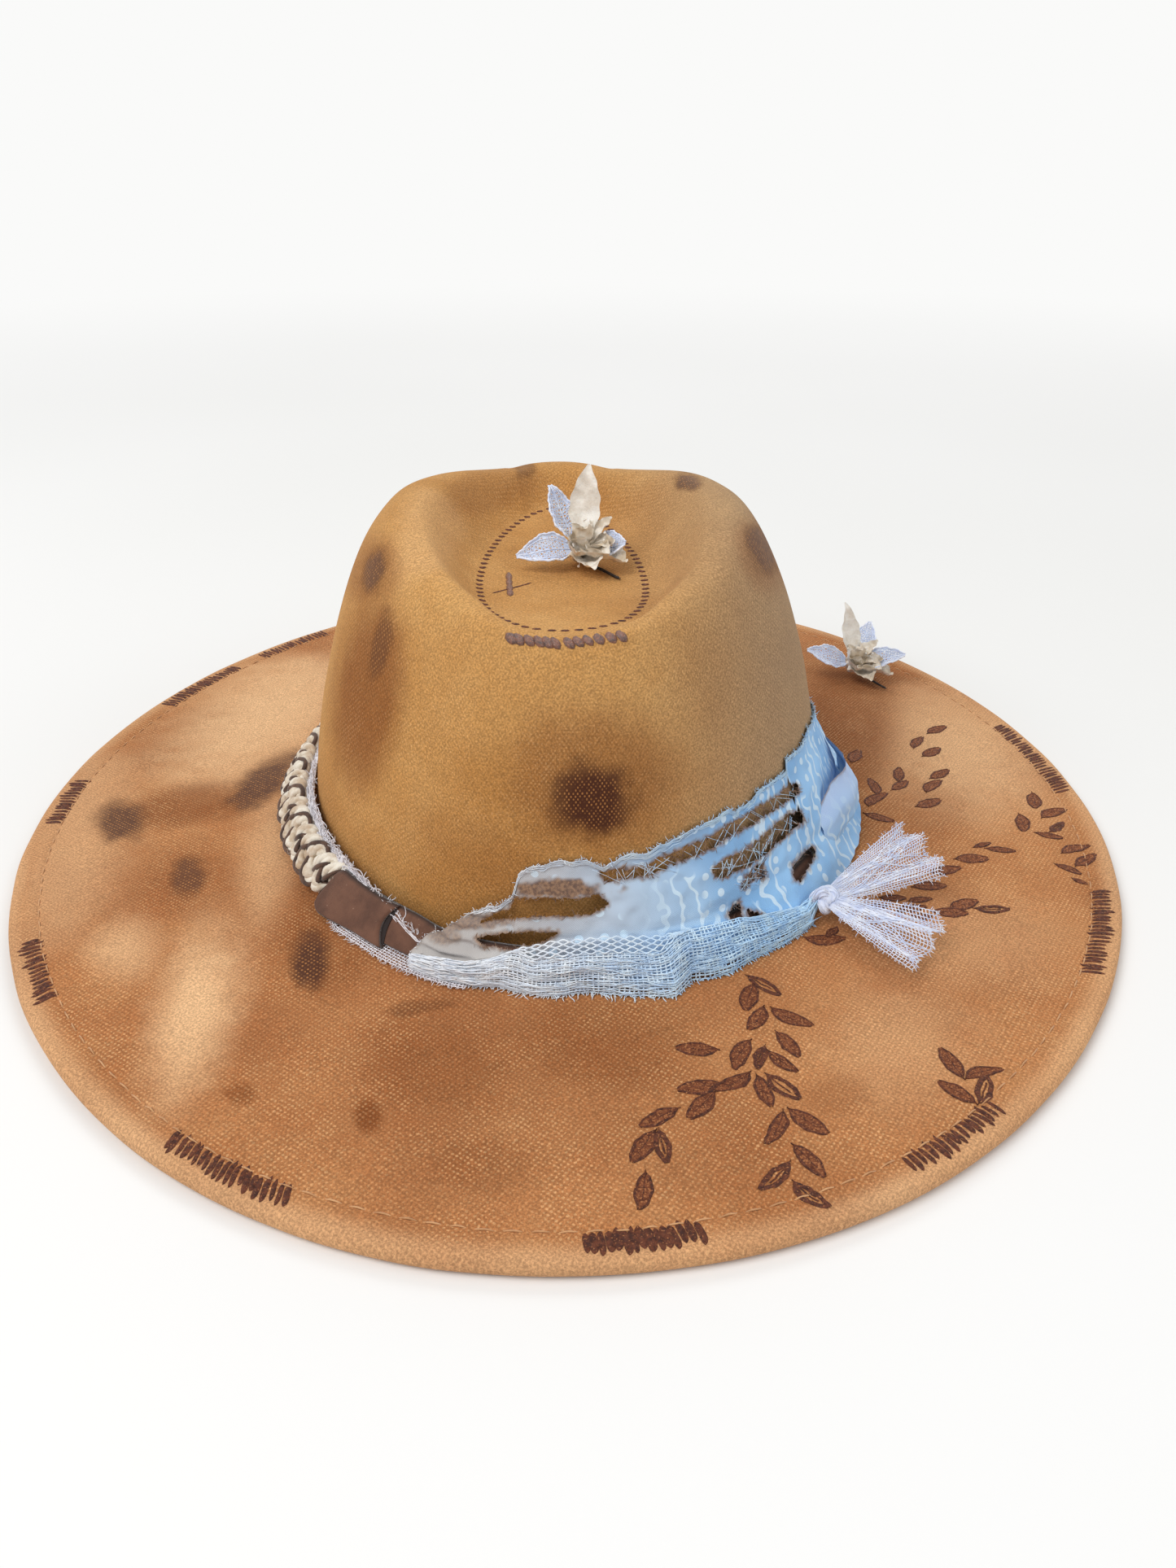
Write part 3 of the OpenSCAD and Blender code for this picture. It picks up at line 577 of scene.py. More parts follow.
def suede(name, light, dark):
    s = Shader(name, 0.88, Sheen_Weight=0.3, Sheen_Roughness=0.4)
    specks = s.times(s.span(s.noise(0.9, 1.0), 0.74, 0.8), 0.5)
    colour = s.blend(specks, s.shades(dark, light, 7, 4.0, 0.6), SUEDE_SPECKS)
    # The darkened mark: darker cut edges, and the painted shadow strip at the keeper's end.
    return s.done(s.blend(s.mark("darkened"), colour, SUEDE_CUT_AND_SHADOW), s.noise(0.4, 3.0, 0.7), 0.6, 0.2)


def printed_cloth(name, ground, shade, blue_lit_ground, blue_lit_shade, print_colour):
    """Thin cloth printed with dots and curved strokes, scorched brown along its torn edges, and with painted
    blue light towards the right side.
    """
    s = Shader(name, 0.82, Sheen_Weight=0.15)
    uv, x = s.uv(), s.split(s.place)[0]
    wide = s.span(s.noise(28, 2.0), 0.32, 0.68)
    # Painted blue light: the cloth's colours turn blue towards the right side.
    colour = s.blend(s.blue_light_share(), s.blend(wide, shade, ground), s.blend(wide, blue_lit_shade, blue_lit_ground))
    cells = {"Vector": uv, "Scale": 1 / DOT_STEP, "Randomness": 0.55}
    far = s.node("ShaderNodeTexVoronoi", cells, voronoi_dimensions="2D").outputs["Distance"]
    bend = {"Vector": uv, "Scale": 0.06, "Distortion": 7.0, "Detail": 1.0, "Detail Scale": 2.4}
    wave = s.node("ShaderNodeTexWave", bend).outputs["Fac"]
    patches = s.noise(24, 1.0)
    dots = s.times(s.span(far, 0.17, 0.22, 1.0, 0.0), s.span(x, -30 * MM, 0), s.span(patches, 0.44, 0.5))
    strokes = s.times(s.span(wave, 0.8, 0.88), s.span(x, 16 * MM, 30 * MM), s.span(patches, 0.52, 0.46))
    plain = s.mark("plain")
    colour = s.blend(s.times(plain, 0.6), colour, PLAIN_CLOTH)
    shown = s.span(plain, 0.0, 1.0, 0.85, 0.12)
    colour = s.blend(s.times(s.math("MAXIMUM", dots, strokes), shown), colour, print_colour)
    colour = s.blend(s.mark("singe"), colour, s.shades(SINGED_DARK, SINGED_LIGHT, 0.9, 3.0))
    return s.done(colour, s.plus(s.times(s.weave(CLOTH_RIBS, 0.0), 0.3), s.noise(2.2, 3.0)), 0.35, 0.4)


def petal_film(name, light, dark, through):
    s = Shader(name, 0.5, Sheen_Weight=0.1, Subsurface_Weight=through, Subsurface_Scale=0.6)
    s.set("Subsurface Radius", (0.003, 0.0025, 0.002))
    return s.done(s.shades(dark, light, 5, 3.0, 0.6), s.noise(1.1, 4.0, 0.7), 0.6, 0.5)


def leather(name):
    s = Shader(name, 0.55)
    cells = s.node("ShaderNodeTexVoronoi", {"Vector": s.place, "Scale": 900.0}).outputs["Distance"]
    return s.done(s.shades((92, 58, 36), (124, 82, 52), 12, 4.0), cells, 0.3, 0.3)


def steel(name, grey):
    s = Shader(name, 0.35, Metallic=1.0)
    colour = s.shades((grey - 25, grey - 25, grey - 22), (grey, grey, grey), 4, 3.0)
    return s.done(colour, s.noise(0.3, 2.0), 0.15, 0.05)


def black_wire(name):
    s = Shader(name, 0.5)
    return s.done(s.shades((20, 18, 18), (48, 42, 40), 1.5, 2.0, low=0.4), s.noise(0.3, 2.0), 0.3, 0.1)


# The crown's last value is the strength of the painted cool light on its right side.
CROWN_FELT = felt("crown_felt", (205, 156, 95), (180, 128, 69), (192, 136, 71), 0.22, 0.55)
BRIM_FELT = felt("brim_felt", (190, 132, 84), (162, 104, 62), (178, 108, 60), 0.42)
BURNT = burnt_line("burnt_line", 0.25, (58, 28, 20), (104, 56, 36))
BURNT_THICK = burnt_line("burnt_thick_line", 0.9, (66, 32, 20), (120, 66, 38))
BURNT_FILL = burnt_line("burnt_fill", 0.2, (84, 42, 26), (132, 76, 46), 0.07)
GAUZE_THREAD = thread("gauze_thread", (246, 243, 247), (222, 218, 225))
# Its right colours are painted blue light on the right side of the gauze.
LACE_THREAD = thread(
    "lace_thread", (248, 251, 255), (228, 235, 246), through=0.15, right=((206, 236, 255), (168, 212, 252))
)
TAIL_THREAD = thread("tail_thread", (240, 244, 255), (210, 220, 246), through=0.15)
BRAID_CREAM = thread("braid_cream", (238, 232, 218), (190, 166, 138), 0.9)
BRAID_DARK = thread("braid_dark", (98, 70, 54), (54, 37, 30), 0.6)
SUEDE = suede("suede", (112, 76, 58), (86, 56, 42))
STITCH = thread("stitch_thread", (212, 162, 112), (178, 128, 82))
# Its third and fourth colours are the cloth under painted blue light, on the right side.
BANDANA = printed_cloth(
    "bandana", (206, 200, 194), (178, 173, 170), (160, 208, 250), (128, 182, 232), (214, 238, 255)
)
FRAY = thread("singed_thread", (170, 132, 98), (84, 54, 38))
LACE_PETAL = petal_film("lace_petal", (222, 232, 250), (194, 208, 236), 0.25)
CREAM_PETAL = petal_film("cream_petal", (244, 240, 232), (218, 208, 194), 0.3)
CENTRE = petal_film("flower_centre", (244, 238, 228), (206, 188, 162), 0.15)
STEM = black_wire("stem_wire")


# Marks on the felt, at pixels of the photograph: middle, half sizes, lean in degrees, strength

CROWN_SCORCHES = {
    "back_middle": (727, 985, 50, 47, 0, 1.0),
    "left_high": (460, 702, 15, 27, 15, 0.8),
    "left_long": (468, 795, 12, 42, 14, 0.55),
    "right_high": (935, 674, 15, 32, -20, 0.85),
    "right_crest": (844, 592, 18, 11, 5, 0.85),
    "front_crest": (645, 576, 13, 12, 0, 0.5),
}
CROWN_SMEARS_AND_SHADE = {
    "round_back_middle": (727, 955, 105, 90, 0, 0.5),
    "left_long": (453, 850, 42, 120, 7, 0.7),
    "left_high": (460, 705, 32, 45, 15, 0.5),
    "right_high": (935, 680, 30, 50, -20, 0.4),
    # Painted shade in the hollow of the dent's left side.
    "dent_left_shade": (600, 600, 60, 30, -20, 0.35),
    "foot": (610, 1060, 120, 40, 30, 0.15),
}
# Painted light: the lit inner slope of the left ridge is paler.
CROWN_PAINTED_LIGHT = {"lit_left_slope": (530, 650, 40, 90, 20, 0.2)}
BRIM_SCORCHES = {
    "left_outer": (147, 1009, 33, 26, -10, 0.9),
    "left_inner": (324, 960, 52, 22, -36, 0.9),
    "left_near": (232, 1075, 22, 25, 20, 0.75),
    "by_keeper": (381, 1180, 24, 34, 8, 0.95),
    "foot_left": (515, 1238, 42, 9, -8, 0.4),
}
BRIM_SMEARS_AND_SHADE = {
    "near_left": (452, 1371, 17, 22, 0, 0.75),
    "near_far_left": (296, 1345, 20, 14, 10, 0.55),
    "left_link": (228, 990, 75, 26, -12, 0.6),
    "left_round": (240, 1080, 60, 50, 0, 0.3),
    # Painted shade on the brim under the keeper.
    "by_keeper": (400, 1150, 60, 75, 10, 0.45),
    "near": (533, 1310, 90, 55, 10, 0.32),
    "near_edge": (600, 1435, 60, 38, 0, 0.28),
    "under_lace": (745, 1275, 110, 60, 0, 0.38),
    "sprig": (1030, 1345, 40, 26, 0, 0.3),
    "right_far": (1040, 890, 60, 120, 10, 0.62),
    "right": (1120, 1010, 80, 40, 0, 0.22),
}
BRIM_PALES = {
    "left_far": (330, 880, 150, 66, -36, 0.85),
    "left_near": (240, 1240, 46, 105, 18, 0.85),
    "left_edge": (152, 1165, 44, 36, 0, 0.55),
    "left_band": (330, 1050, 34, 85, 10, 0.5),
    "left_rim": (95, 1030, 62, 170, 18, 0.42),
    "right_near": (1105, 1285, 90, 75, 0, 0.24),
    "right_far": (1180, 920, 110, 75, 30, 0.6),
    "right_mid": (1200, 1160, 110, 52, 0, 0.22),
}


def marked(p, spots, find, reach, ragged, rim=1.35, core=0.55):
    """Strength, from 0 to 1, of soft spots at points p. Spots lie within a reach in mm of where they show."""
    pixels = in_photo(p)
    total = np.zeros(len(p))
    wander = ragged * (0.6 * noise(p, 6, 3) + 0.4 * noise(p, 2.2, 4))
    for px, py, half_x, half_y, lean, strength in spots.values():
        away = np.linalg.norm(p - find(px, py), axis=1)
        cos, sin = cos_sin(lean)
        dx, dy = pixels[:, 0] - px, pixels[:, 1] - py
        far = np.hypot((dx * cos + dy * sin) / half_x, (dy * cos - dx * sin) / half_y) + wander
        total = np.maximum(total, strength * smooth(rim, core, far) * smooth(reach, 0.7 * reach, away))
    return total


def brim_place(px, py):
    turn, out = brim_at(px, py)
    x, y = oval(turn, out)
    return np.array([x, y, brim_top(out)])


# Crown

CROWN_COLUMNS, WALL_ROWS, SLOPE_ROWS, FLOOR_ROWS, INNER_ROWS = 720, 130, 64, 46, 26
FLOOR_END, INNER_END = 2.985, 2.95
# Heights between which lumps of the felt come in above the band
LUMPS_FROM, LUMPS_FULL = 48, 60
# Radius that gives the weave's run round the crown, and its stretch up the wall
WEAVE_RADIUS, WEAVE_STRETCH = 95, 1.02
columns = CROWN_COLUMNS
turns = np.arange(columns) * 360 / columns
slope_rows, floor_rows = np.linspace(1, 2, SLOPE_ROWS)[1:], np.linspace(2, FLOOR_END, FLOOR_ROWS)[1:]
rows = np.concatenate([np.linspace(0, 1, WALL_ROWS), slope_rows, floor_rows])
T, S = np.meshgrid(turns, rows)
outer = crown_point(T, S)
lumps = 0.45 * noise(outer, 38, 1) + 0.2 * noise(outer, 15, 2)
lumps = lumps * smooth(LUMPS_FROM, LUMPS_FULL, outer[..., 2])
outer = outer + crown_normal(T, S) * lumps[..., None]
inner_rows = np.concatenate([np.linspace(0, 1, INNER_ROWS), np.linspace(1, INNER_END, INNER_ROWS)[1:]])
TI, SI = np.meshgrid(turns, inner_rows)
inner = crown_point(TI, SI) - FELT * crown_normal(TI, SI)
inner[0] = points(*oval(turns, -FELT), SEAT)
n_out, n_in = len(rows) * columns, len(inner_rows) * columns
c = np.arange(columns)
n = (c + 1) % columns
top_ring, low_ring = n_out - columns, n_out + n_in - columns
faces = [
    grid(len(rows), columns, True),
    grid(len(inner_rows), columns, True, n_out)[:, ::-1],
    np.stack([c, n_out + c, n_out + n, n], -1),
    np.stack([top_ring + c, top_ring + n, np.full(columns, n_out + n_in)], -1),
    np.stack([low_ring + n, low_ring + c, np.full(columns, n_out + n_in + 1)], -1),
]
middle = np.array([[0, -FLOOR_SHIFT, FLOOR_HEIGHT], [0, -FLOOR_SHIFT, FLOOR_HEIGHT - FELT]])
verts = np.concatenate([outer.reshape(-1, 3), inner.reshape(-1, 3), middle])
wall_uv = points(np.radians(T) * WEAVE_RADIUS, outer[..., 2] * WEAVE_STRETCH)
crown_uv = np.where((S <= 1)[..., None], wall_uv, outer[..., :2])
crown_uv = np.concatenate([crown_uv.reshape(-1, 2), inner[..., :2].reshape(-1, 2), middle[:, :2]])
felt_tree = BVHTree.FromPolygons(outer.reshape(-1, 3).tolist(), faces[0].tolist())


def on_felt(p):
    """Nearest points of the crown's felt, and the normals there."""
    found = [felt_tree.find_nearest(Vector(q))[:2] for q in np.reshape(p, (-1, 3))]
    spots = np.array([list(spot) for spot, _ in found]).reshape(np.shape(p))
    normals = np.array([list(normal) for _, normal in found]).reshape(np.shape(p))
    return spots, normals


# On the crown the pale mark is painted light on the lit left slope.
crown_marks = {
    "scorch": marked(verts, CROWN_SCORCHES, crown_at, 26, 0.32),
    "smear_and_shade": marked(verts, CROWN_SMEARS_AND_SHADE, crown_at, 48, 0.12),
    "pale": marked(verts, CROWN_PAINTED_LIGHT, crown_at, 40, 0.1),
}
build("crown_felt", verts, faces, CROWN_FELT, "hat", "crown", "crown_felt", crown_uv, crown_marks)

# Brim

# Waves of the brim's felt, the groove of its stitches and its soft hem: sizes, and where they start and end
WAVE_HEIGHT, WAVE_SIZE, WAVE_FULL, WAVE_END = 0.3, 45, 84, 95
GROOVE_DEPTH, GROOVE_WIDTH = 0.4, 0.75
PUFF_HEIGHT, PUFF_SIZE, PUFF_RUN = 0.25, 11, 3
RELIEF_FROM, RELIEF_FULL = 20, 30
# The edge's wandering from the oval, in mm and as a share of the brim's radius
EDGE_WANDER, EDGE_WANDER_SIZE, EDGE_WANDER_FROM, EDGE_WANDER_FULL, BRIM_RADIUS = 0.25, 18, 86, 94, 190
BRIM_COLUMNS, COLLAR_ROWS, TOP_ROWS, EDGE_ROWS, HEM_ROWS, UNDER_ROWS = 1000, 4, 165, 17, 8, 30
# Lean of the brim's weave; painted light on the rounded hem: its strength, and where it starts and is full.
WEAVE_LEAN, HEM_PAINTED_LIGHT, HEM_PAINTED_LIGHT_FROM, HEM_PAINTED_LIGHT_FULL = 8, 0.55, 89, 95


def relief(p, out):
    """Height of the waves, the groove and the hem on the smooth brim."""
    waves = WAVE_HEIGHT * noise(p, WAVE_SIZE, 5) * smooth(WAVE_END, WAVE_FULL, out)
    groove = GROOVE_DEPTH * np.exp(-(((out - HEM_LINE) / GROOVE_WIDTH) ** 2))
    puff = PUFF_HEIGHT * noise(p, PUFF_SIZE, 6) * smooth(HEM_LINE, HEM_LINE + PUFF_RUN, out)
    return smooth(RELIEF_FROM, RELIEF_FULL, out) * (waves - groove + puff)


columns = BRIM_COLUMNS
turns = np.arange(columns) * 360 / columns
collar_out = np.linspace(COLLAR_FACE, 0, COLLAR_ROWS)[:-1]
top_out = np.concatenate([collar_out, np.linspace(0, EDGE_START, TOP_ROWS)])
edge_a = np.radians(np.linspace(90, -90, EDGE_ROWS))[1:]
edge_out, edge_z = EDGE_START + HEM_THICK / 2 * np.cos(edge_a), HEM_THICK / 2 * (1 + np.sin(edge_a))
hem_out = np.linspace(EDGE_START, BRIM_REACH - HEM_WIDTH, HEM_ROWS)[1:]
under_out = np.linspace(BRIM_REACH - HEM_WIDTH, 0, UNDER_ROWS)
under_z, collar_top = brim_top(under_out) - BRIM_PLY, SEAT + COLLAR_HEIGHT
section_out = np.concatenate([[COLLAR_FACE], top_out, edge_out, hem_out, under_out, [COLLAR_BACK] * 2])
section_z = np.concatenate(
    [[collar_top], brim_top(top_out), edge_z, 0 * hem_out, under_z, [SEAT - BRIM_PLY, collar_top]]
)
last_top = 1 + len(top_out)
OUT = np.broadcast_to(section_out[:, None], (len(section_out), columns))
x, y = oval(turns[None, :], OUT)
verts = points(x, y, section_z[:, None])
verts[1:last_top, :, 2] += relief(verts[1:last_top], OUT[1:last_top])
wander = EDGE_WANDER * noise(verts, EDGE_WANDER_SIZE, 7) * smooth(EDGE_WANDER_FROM, EDGE_WANDER_FULL, OUT)
verts[..., :2] *= (1 + wander / BRIM_RADIUS)[..., None]
verts = verts.reshape(-1, 3)
faces = grid(len(section_out), columns, True)
closing = between((len(section_out) - 1) * columns, 0, columns, True)
cos, sin = cos_sin(WEAVE_LEAN)
brim_uv = points(verts[:, 0] * cos + verts[:, 1] * sin, verts[:, 1] * cos - verts[:, 0] * sin)
upper = (np.arange(len(section_out)) < last_top + EDGE_ROWS // 2).repeat(columns)
# Painted light: the rounded hem is paler, as light falls on it; the pale mark joins it to faded patches.
hem_painted_light = HEM_PAINTED_LIGHT * smooth(HEM_PAINTED_LIGHT_FROM, HEM_PAINTED_LIGHT_FULL, OUT.ravel()) * (0.7 + 0.3 * noise(verts, 20, 8))
brim_marks = {
    "scorch": marked(verts, BRIM_SCORCHES, brim_place, 45, 0.3) * upper,
    "smear_and_shade": marked(verts, BRIM_SMEARS_AND_SHADE, brim_place, 75, 0.15) * upper,
    "pale": np.maximum(marked(verts, BRIM_PALES, brim_place, 75, 0.22, 1.7, 0.1) * upper, hem_painted_light),
}
build("brim_felt", verts, [faces, closing], BRIM_FELT, "hat", "brim", "brim_felt", brim_uv, brim_marks)


# Stitches and burnt marks on the felt


def brim_surface(turn, out, lift):
    x, y = oval(turn, out)
    p = points(x, y, brim_top(np.asarray(out, float)))
    return p + points(0, 0, relief(p, out) + lift)


def brim_length(turn, out):
    """Length round the brim per degree of turn."""
    a, b = (np.array(oval(turn + step, out)) for step in (-0.5, 0.5))
    return float(np.linalg.norm(b - a))


# Height of a burnt mark's rim over the felt
FLAKE_RIM = 0.07


def blunt(t):
    """Width along a stroke, as a share of its full width."""
    return np.sqrt(np.maximum(0.02, 1 - np.abs(t) ** 2.5))


def flake(heap, place, half_length, half_width, lift, rows, cols, shape=blunt):
    """A thin mark on a surface: place(a, b, rise) gives points at mm along, across and over its middle."""
    t, u = np.linspace(-1, 1, rows), np.linspace(-1, 1, cols)
    width = shape(t)[:, None]
    a, b = np.meshgrid(t, u, indexing="ij")
    rise = FLAKE_RIM + lift * (1 - np.abs(u) ** 3) * np.minimum(1, width * 2)
    heap.add(place(a * half_length, b * half_width * width, rise), grid(rows, cols))


STITCH_LENGTH, STITCH_SPACE, STITCH_RADIUS, STITCH_POINTS = 4.4, 1.5, 0.24, 7
STITCH_SINK, STITCH_ARCH = -0.12, 0.38
stitches = Heap()
arch = np.sin(np.linspace(0, np.pi, STITCH_POINTS))
at = 0.0
while at < 360:
    per = brim_length(at, HEM_LINE)
    length = STITCH_LENGTH * rng.uniform(0.9, 1.1)
    span = np.linspace(at, at + length / per, STITCH_POINTS)
    sway = 0.15 * rng.normal(size=STITCH_POINTS).cumsum() * 0.3
    path = brim_surface(span, HEM_LINE + sway, STITCH_SINK + STITCH_ARCH * arch)
    stitches.tube(path, STITCH_RADIUS * (0.55 + 0.45 * arch), 5)
    at += (length + STITCH_SPACE) / per
stitches.piece("hem_stitches", STITCH, "hat")

# Groups of short burnt strokes across the hem: two ends at pixels of the photograph
HEM_STROKES = {
    "near_left": ((206, 1404), (364, 1466)),
    "near": ((720, 1520), (866, 1528)),
    "near_right": ((1115, 1428), (1232, 1362)),
    "right": ((1345, 1196), (1345, 1092)),
    "right_far": ((1312, 972), (1228, 892)),
    "left": ((52, 1232), (48, 1155)),
    "left_far": ((84, 1012), (118, 960)),
    "back_left": ((212, 868), (288, 820)),
}
# Where strokes end, where their turns are measured, and their lift
STROKE_END, STROKE_OUT, STROKE_LIFT = 94.2, 90, 0.16
# Shares of the strokes' full width: in sight, at the near side and out of sight, with the turns of the last
SEEN_WIDTH, NEAR_WIDTH, HIDDEN_WIDTH, HIDDEN_STROKES = 0.95, 1.25, 0.9, (64, 98, 132)
strokes = Heap()


def hem_stroke(turn, start, end, half_width, skew):
    per = brim_length(turn, STROKE_OUT)
    phase = rng.normal(0, 0.25, 3)[0]

    def place(a, b, rise):
        bent = skew * a + 0.35 * np.sin(a * 0.6 + phase)
        return brim_surface(turn + (b + bent) / per, (start + end) / 2 + a, rise)

    flake(strokes, place, (end - start) / 2, half_width, STROKE_LIFT, 12, 5)


def stroke_group(first, last, packed):
    per = brim_length((first + last) / 2, STROKE_OUT)
    at, skew = first, rng.uniform(-0.25, 0.25)
    while at < last:
        start = HEM_LINE + rng.uniform(-0.9, 0.4)
        end = STROKE_END + rng.uniform(-1.4, 0.7)
        hem_stroke(at, start, end, rng.uniform(0.62, 0.95) * packed, skew + rng.normal(0, 0.05))
        at += rng.uniform(1.5, 2.1) / per


for name, (one, other) in HEM_STROKES.items():
    first, last = sorted((brim_at(*one)[0], brim_at(*other)[0]))
    if last - first > 180:
        first, last = last - 360, first
    stroke_group(first, last, NEAR_WIDTH if name == "near" else SEEN_WIDTH)
for first in HIDDEN_STROKES:
    stroke_group(first, first + rng.uniform(8, 13), HIDDEN_WIDTH)
strokes.piece("hem_burnt_strokes", BURNT, "hat")

# Widths of the line round filled and hollow leaves, half the width of a vein, and the rise across each
FILLED_LINE, HOLLOW_LINE, VEIN_HALF, LEAF_LIFT = 0.8, 1.35, 0.25, 0.12
LINE_RISE, VEIN_RISE = np.array([0.1, 0.3, 0.3, 0.1]), np.array([0.1, 0.28, 0.1])


def almond(t):
    return np.maximum(0.05, (1 - np.abs(t * 0.98 - 0.12) ** 2.2) * (1 - 0.12 * t))


def leaf(root, way, length, width, hollow):
    """An almond leaf on the brim from a root [x, y] along a direction; hollow ones are only outlined."""
    way = np.array([math.cos(way), math.sin(way)])
    side = np.array([-way[1], way[0]])
    curve = rng.normal(0, 0.06)

    def place(a, b, rise):
        along = length / 2 + a
        xy = root + along[..., None] * way + (b + curve * along**2 / 4)[..., None] * side
        out = turn_and_out(xy[..., 0], xy[..., 1])[1]
        rough = 0.32 * noise(points(xy[..., 0], xy[..., 1], 0), 1.3, 9)
        p = points(xy[..., 0] + rough * side[0], xy[..., 1] + rough * side[1], brim_top(out))
        return p + points(0, 0, relief(p, out) + rise)

    def line(t, b, rise):
        leaf_lines.add(place(t[:, None] * length / 2, b, rise), grid(len(t), len(rise)))

    if not hollow:
        flake(leaf_fills, place, length / 2, width / 2, LEAF_LIFT, 17, 7, almond)
    t = np.linspace(-1, 1, 19)
    shape = almond(t)[:, None]
    thick = np.linspace(0, HOLLOW_LINE if hollow else FILLED_LINE, len(LINE_RISE))
    thick = thick * np.minimum(1, shape * 2)
    for way_out in (-1, 1):
        line(t, way_out * (shape * width / 2 - thick), LINE_RISE)
    line(np.linspace(-0.8, 0.5, 9), np.linspace(-VEIN_HALF, VEIN_HALF, len(VEIN_RISE)), VEIN_RISE)


# Leaves of the sprigs, filled and only outlined: root and tip at pixels of the photograph
FILLED_LEAVES = {
    "near_trunk": (
        (925, 1207, 918, 1242), (939, 1235, 931, 1268), (946, 1237, 988, 1270), (952, 1266, 985, 1298),
        (941, 1289, 973, 1321), (929, 1319, 946, 1361),
    ),
    "near_left": (
        (924, 1277, 889, 1307), (885, 1291, 830, 1289), (922, 1316, 897, 1352), (889, 1331, 830, 1343),
        (880, 1340, 845, 1379), (836, 1361, 784, 1384), (806, 1387, 768, 1444), (793, 1438, 792, 1488),
    ),
    "near_right": ((962, 1363, 960, 1414), (967, 1361, 1017, 1399), (972, 1405, 1017, 1445)),
    "near_edge": ((1185, 1328, 1152, 1286), (1185, 1328, 1211, 1303), (1202, 1358, 1153, 1329)),
    "by_knot": ((986, 1152, 1039, 1165), (1013, 1153, 1030, 1140)),
    "right_low": (
        (1026, 1110, 1052, 1114), (1058, 1118, 1088, 1111), (1079, 1103, 1114, 1105),
        (1114, 1108, 1144, 1103), (1099, 1121, 1133, 1110), (1114, 1127, 1147, 1129),
        (1143, 1120, 1190, 1123), (1164, 1116, 1203, 1108),
    ),
    "right_mid": (
        (1119, 1090, 1162, 1087), (1140, 1072, 1183, 1069), (1171, 1056, 1216, 1053),
        (1195, 1042, 1216, 1035), (1209, 1043, 1247, 1044),
    ),
    "upper": (
        (1060, 999, 1098, 1011), (1067, 992, 1067, 961), (1077, 978, 1081, 940), (1103, 962, 1107, 936),
        (1094, 972, 1117, 961), (1138, 975, 1142, 952), (1142, 958, 1169, 945), (1124, 992, 1164, 983),
        (1122, 921, 1125, 900), (1138, 902, 1162, 891), (1133, 931, 1154, 919), (1046, 938, 1053, 914),
    ),
    "edge_far": (
        (1251, 999, 1270, 1025), (1268, 973, 1277, 1006), (1280, 1006, 1298, 987),
        (1270, 1023, 1306, 1030), (1294, 1061, 1330, 1072), (1303, 1049, 1334, 1030),
        (1320, 1065, 1345, 1049), (1316, 1079, 1336, 1087),
    ),
}
OUTLINED_LEAVES = {
    "near_trunk": ((915, 1198, 962, 1222), (941, 1284, 924, 1312), (939, 1319, 982, 1352)),
    "near_left": ((808, 1386, 820, 1430),),
    "near_right": ((972, 1426, 938, 1475), (972, 1451, 1010, 1489)),
    "near_edge": ((1202, 1358, 1220, 1326),),
    "right_low": ((1195, 1116, 1242, 1121),),
    "edge_far": ((1289, 1023, 1308, 1011),),
}
LONGEST_LEAF = 12.0
leaf_fills, leaf_lines = Heap(), Heap()
for sprigs, hollow in ((FILLED_LEAVES, False), (OUTLINED_LEAVES, True)):
    for x, y, tip_x, tip_y in (row for group in sprigs.values() for row in group):
        root, tip = brim_place(x, y)[:2], brim_place(tip_x, tip_y)[:2]
        size = min(float(np.linalg.norm(tip - root)), LONGEST_LEAF)
        leaf(root, math.atan2(*(tip - root)[::-1]), size, size * rng.uniform(0.36, 0.46), hollow)
leaf_fills.piece("brim_burnt_leaves", BURNT_FILL, "hat")
leaf_lines.piece("brim_leaf_lines", BURNT, "hat")

# Dashes round the floor of the dent, and at pixels of the photograph thick strokes behind it and a cross
DASH_STEP, DASH_SHARE, DASH_SHIFT, DASH_HALF, DASH_LIFT = 3.9, 2.035, np.array([-1.5, 0, 0]), 1.2, 0.25
STROKE_COUNT, THICK_HALF, THICK_LIFT = 12, 2.1, 0.7
STROKE_ROW = ((628, 784), (690, 790), (764, 781))
CROSS_BAR = ((607, 729), (651, 717))
CROSS_POST = ((625, 706), (627, 732))
CROSS_FLAKES = 4
dashes, thick_strokes = Heap(), Heap()


def crown_flake(heap, spot, way, half_length, half_width, lift):
    """A mark on the crown at a spot that runs along a direction in space."""
    middle, normal = on_felt(spot)
    way = unit(way - (way @ normal) * normal)
    side = np.cross(normal, way)

    def place(a, b, crown):
        spots, normals = on_felt(middle + a[..., None] * way + b[..., None] * side)
        return spots + normals * crown[..., None]

    flake(heap, place, half_length, half_width, lift, 7, 4)


def run_length(path):
    """Length along a path at each of its points."""
    return np.concatenate([[0], np.cumsum(np.linalg.norm(np.diff(path, axis=0), axis=1))])


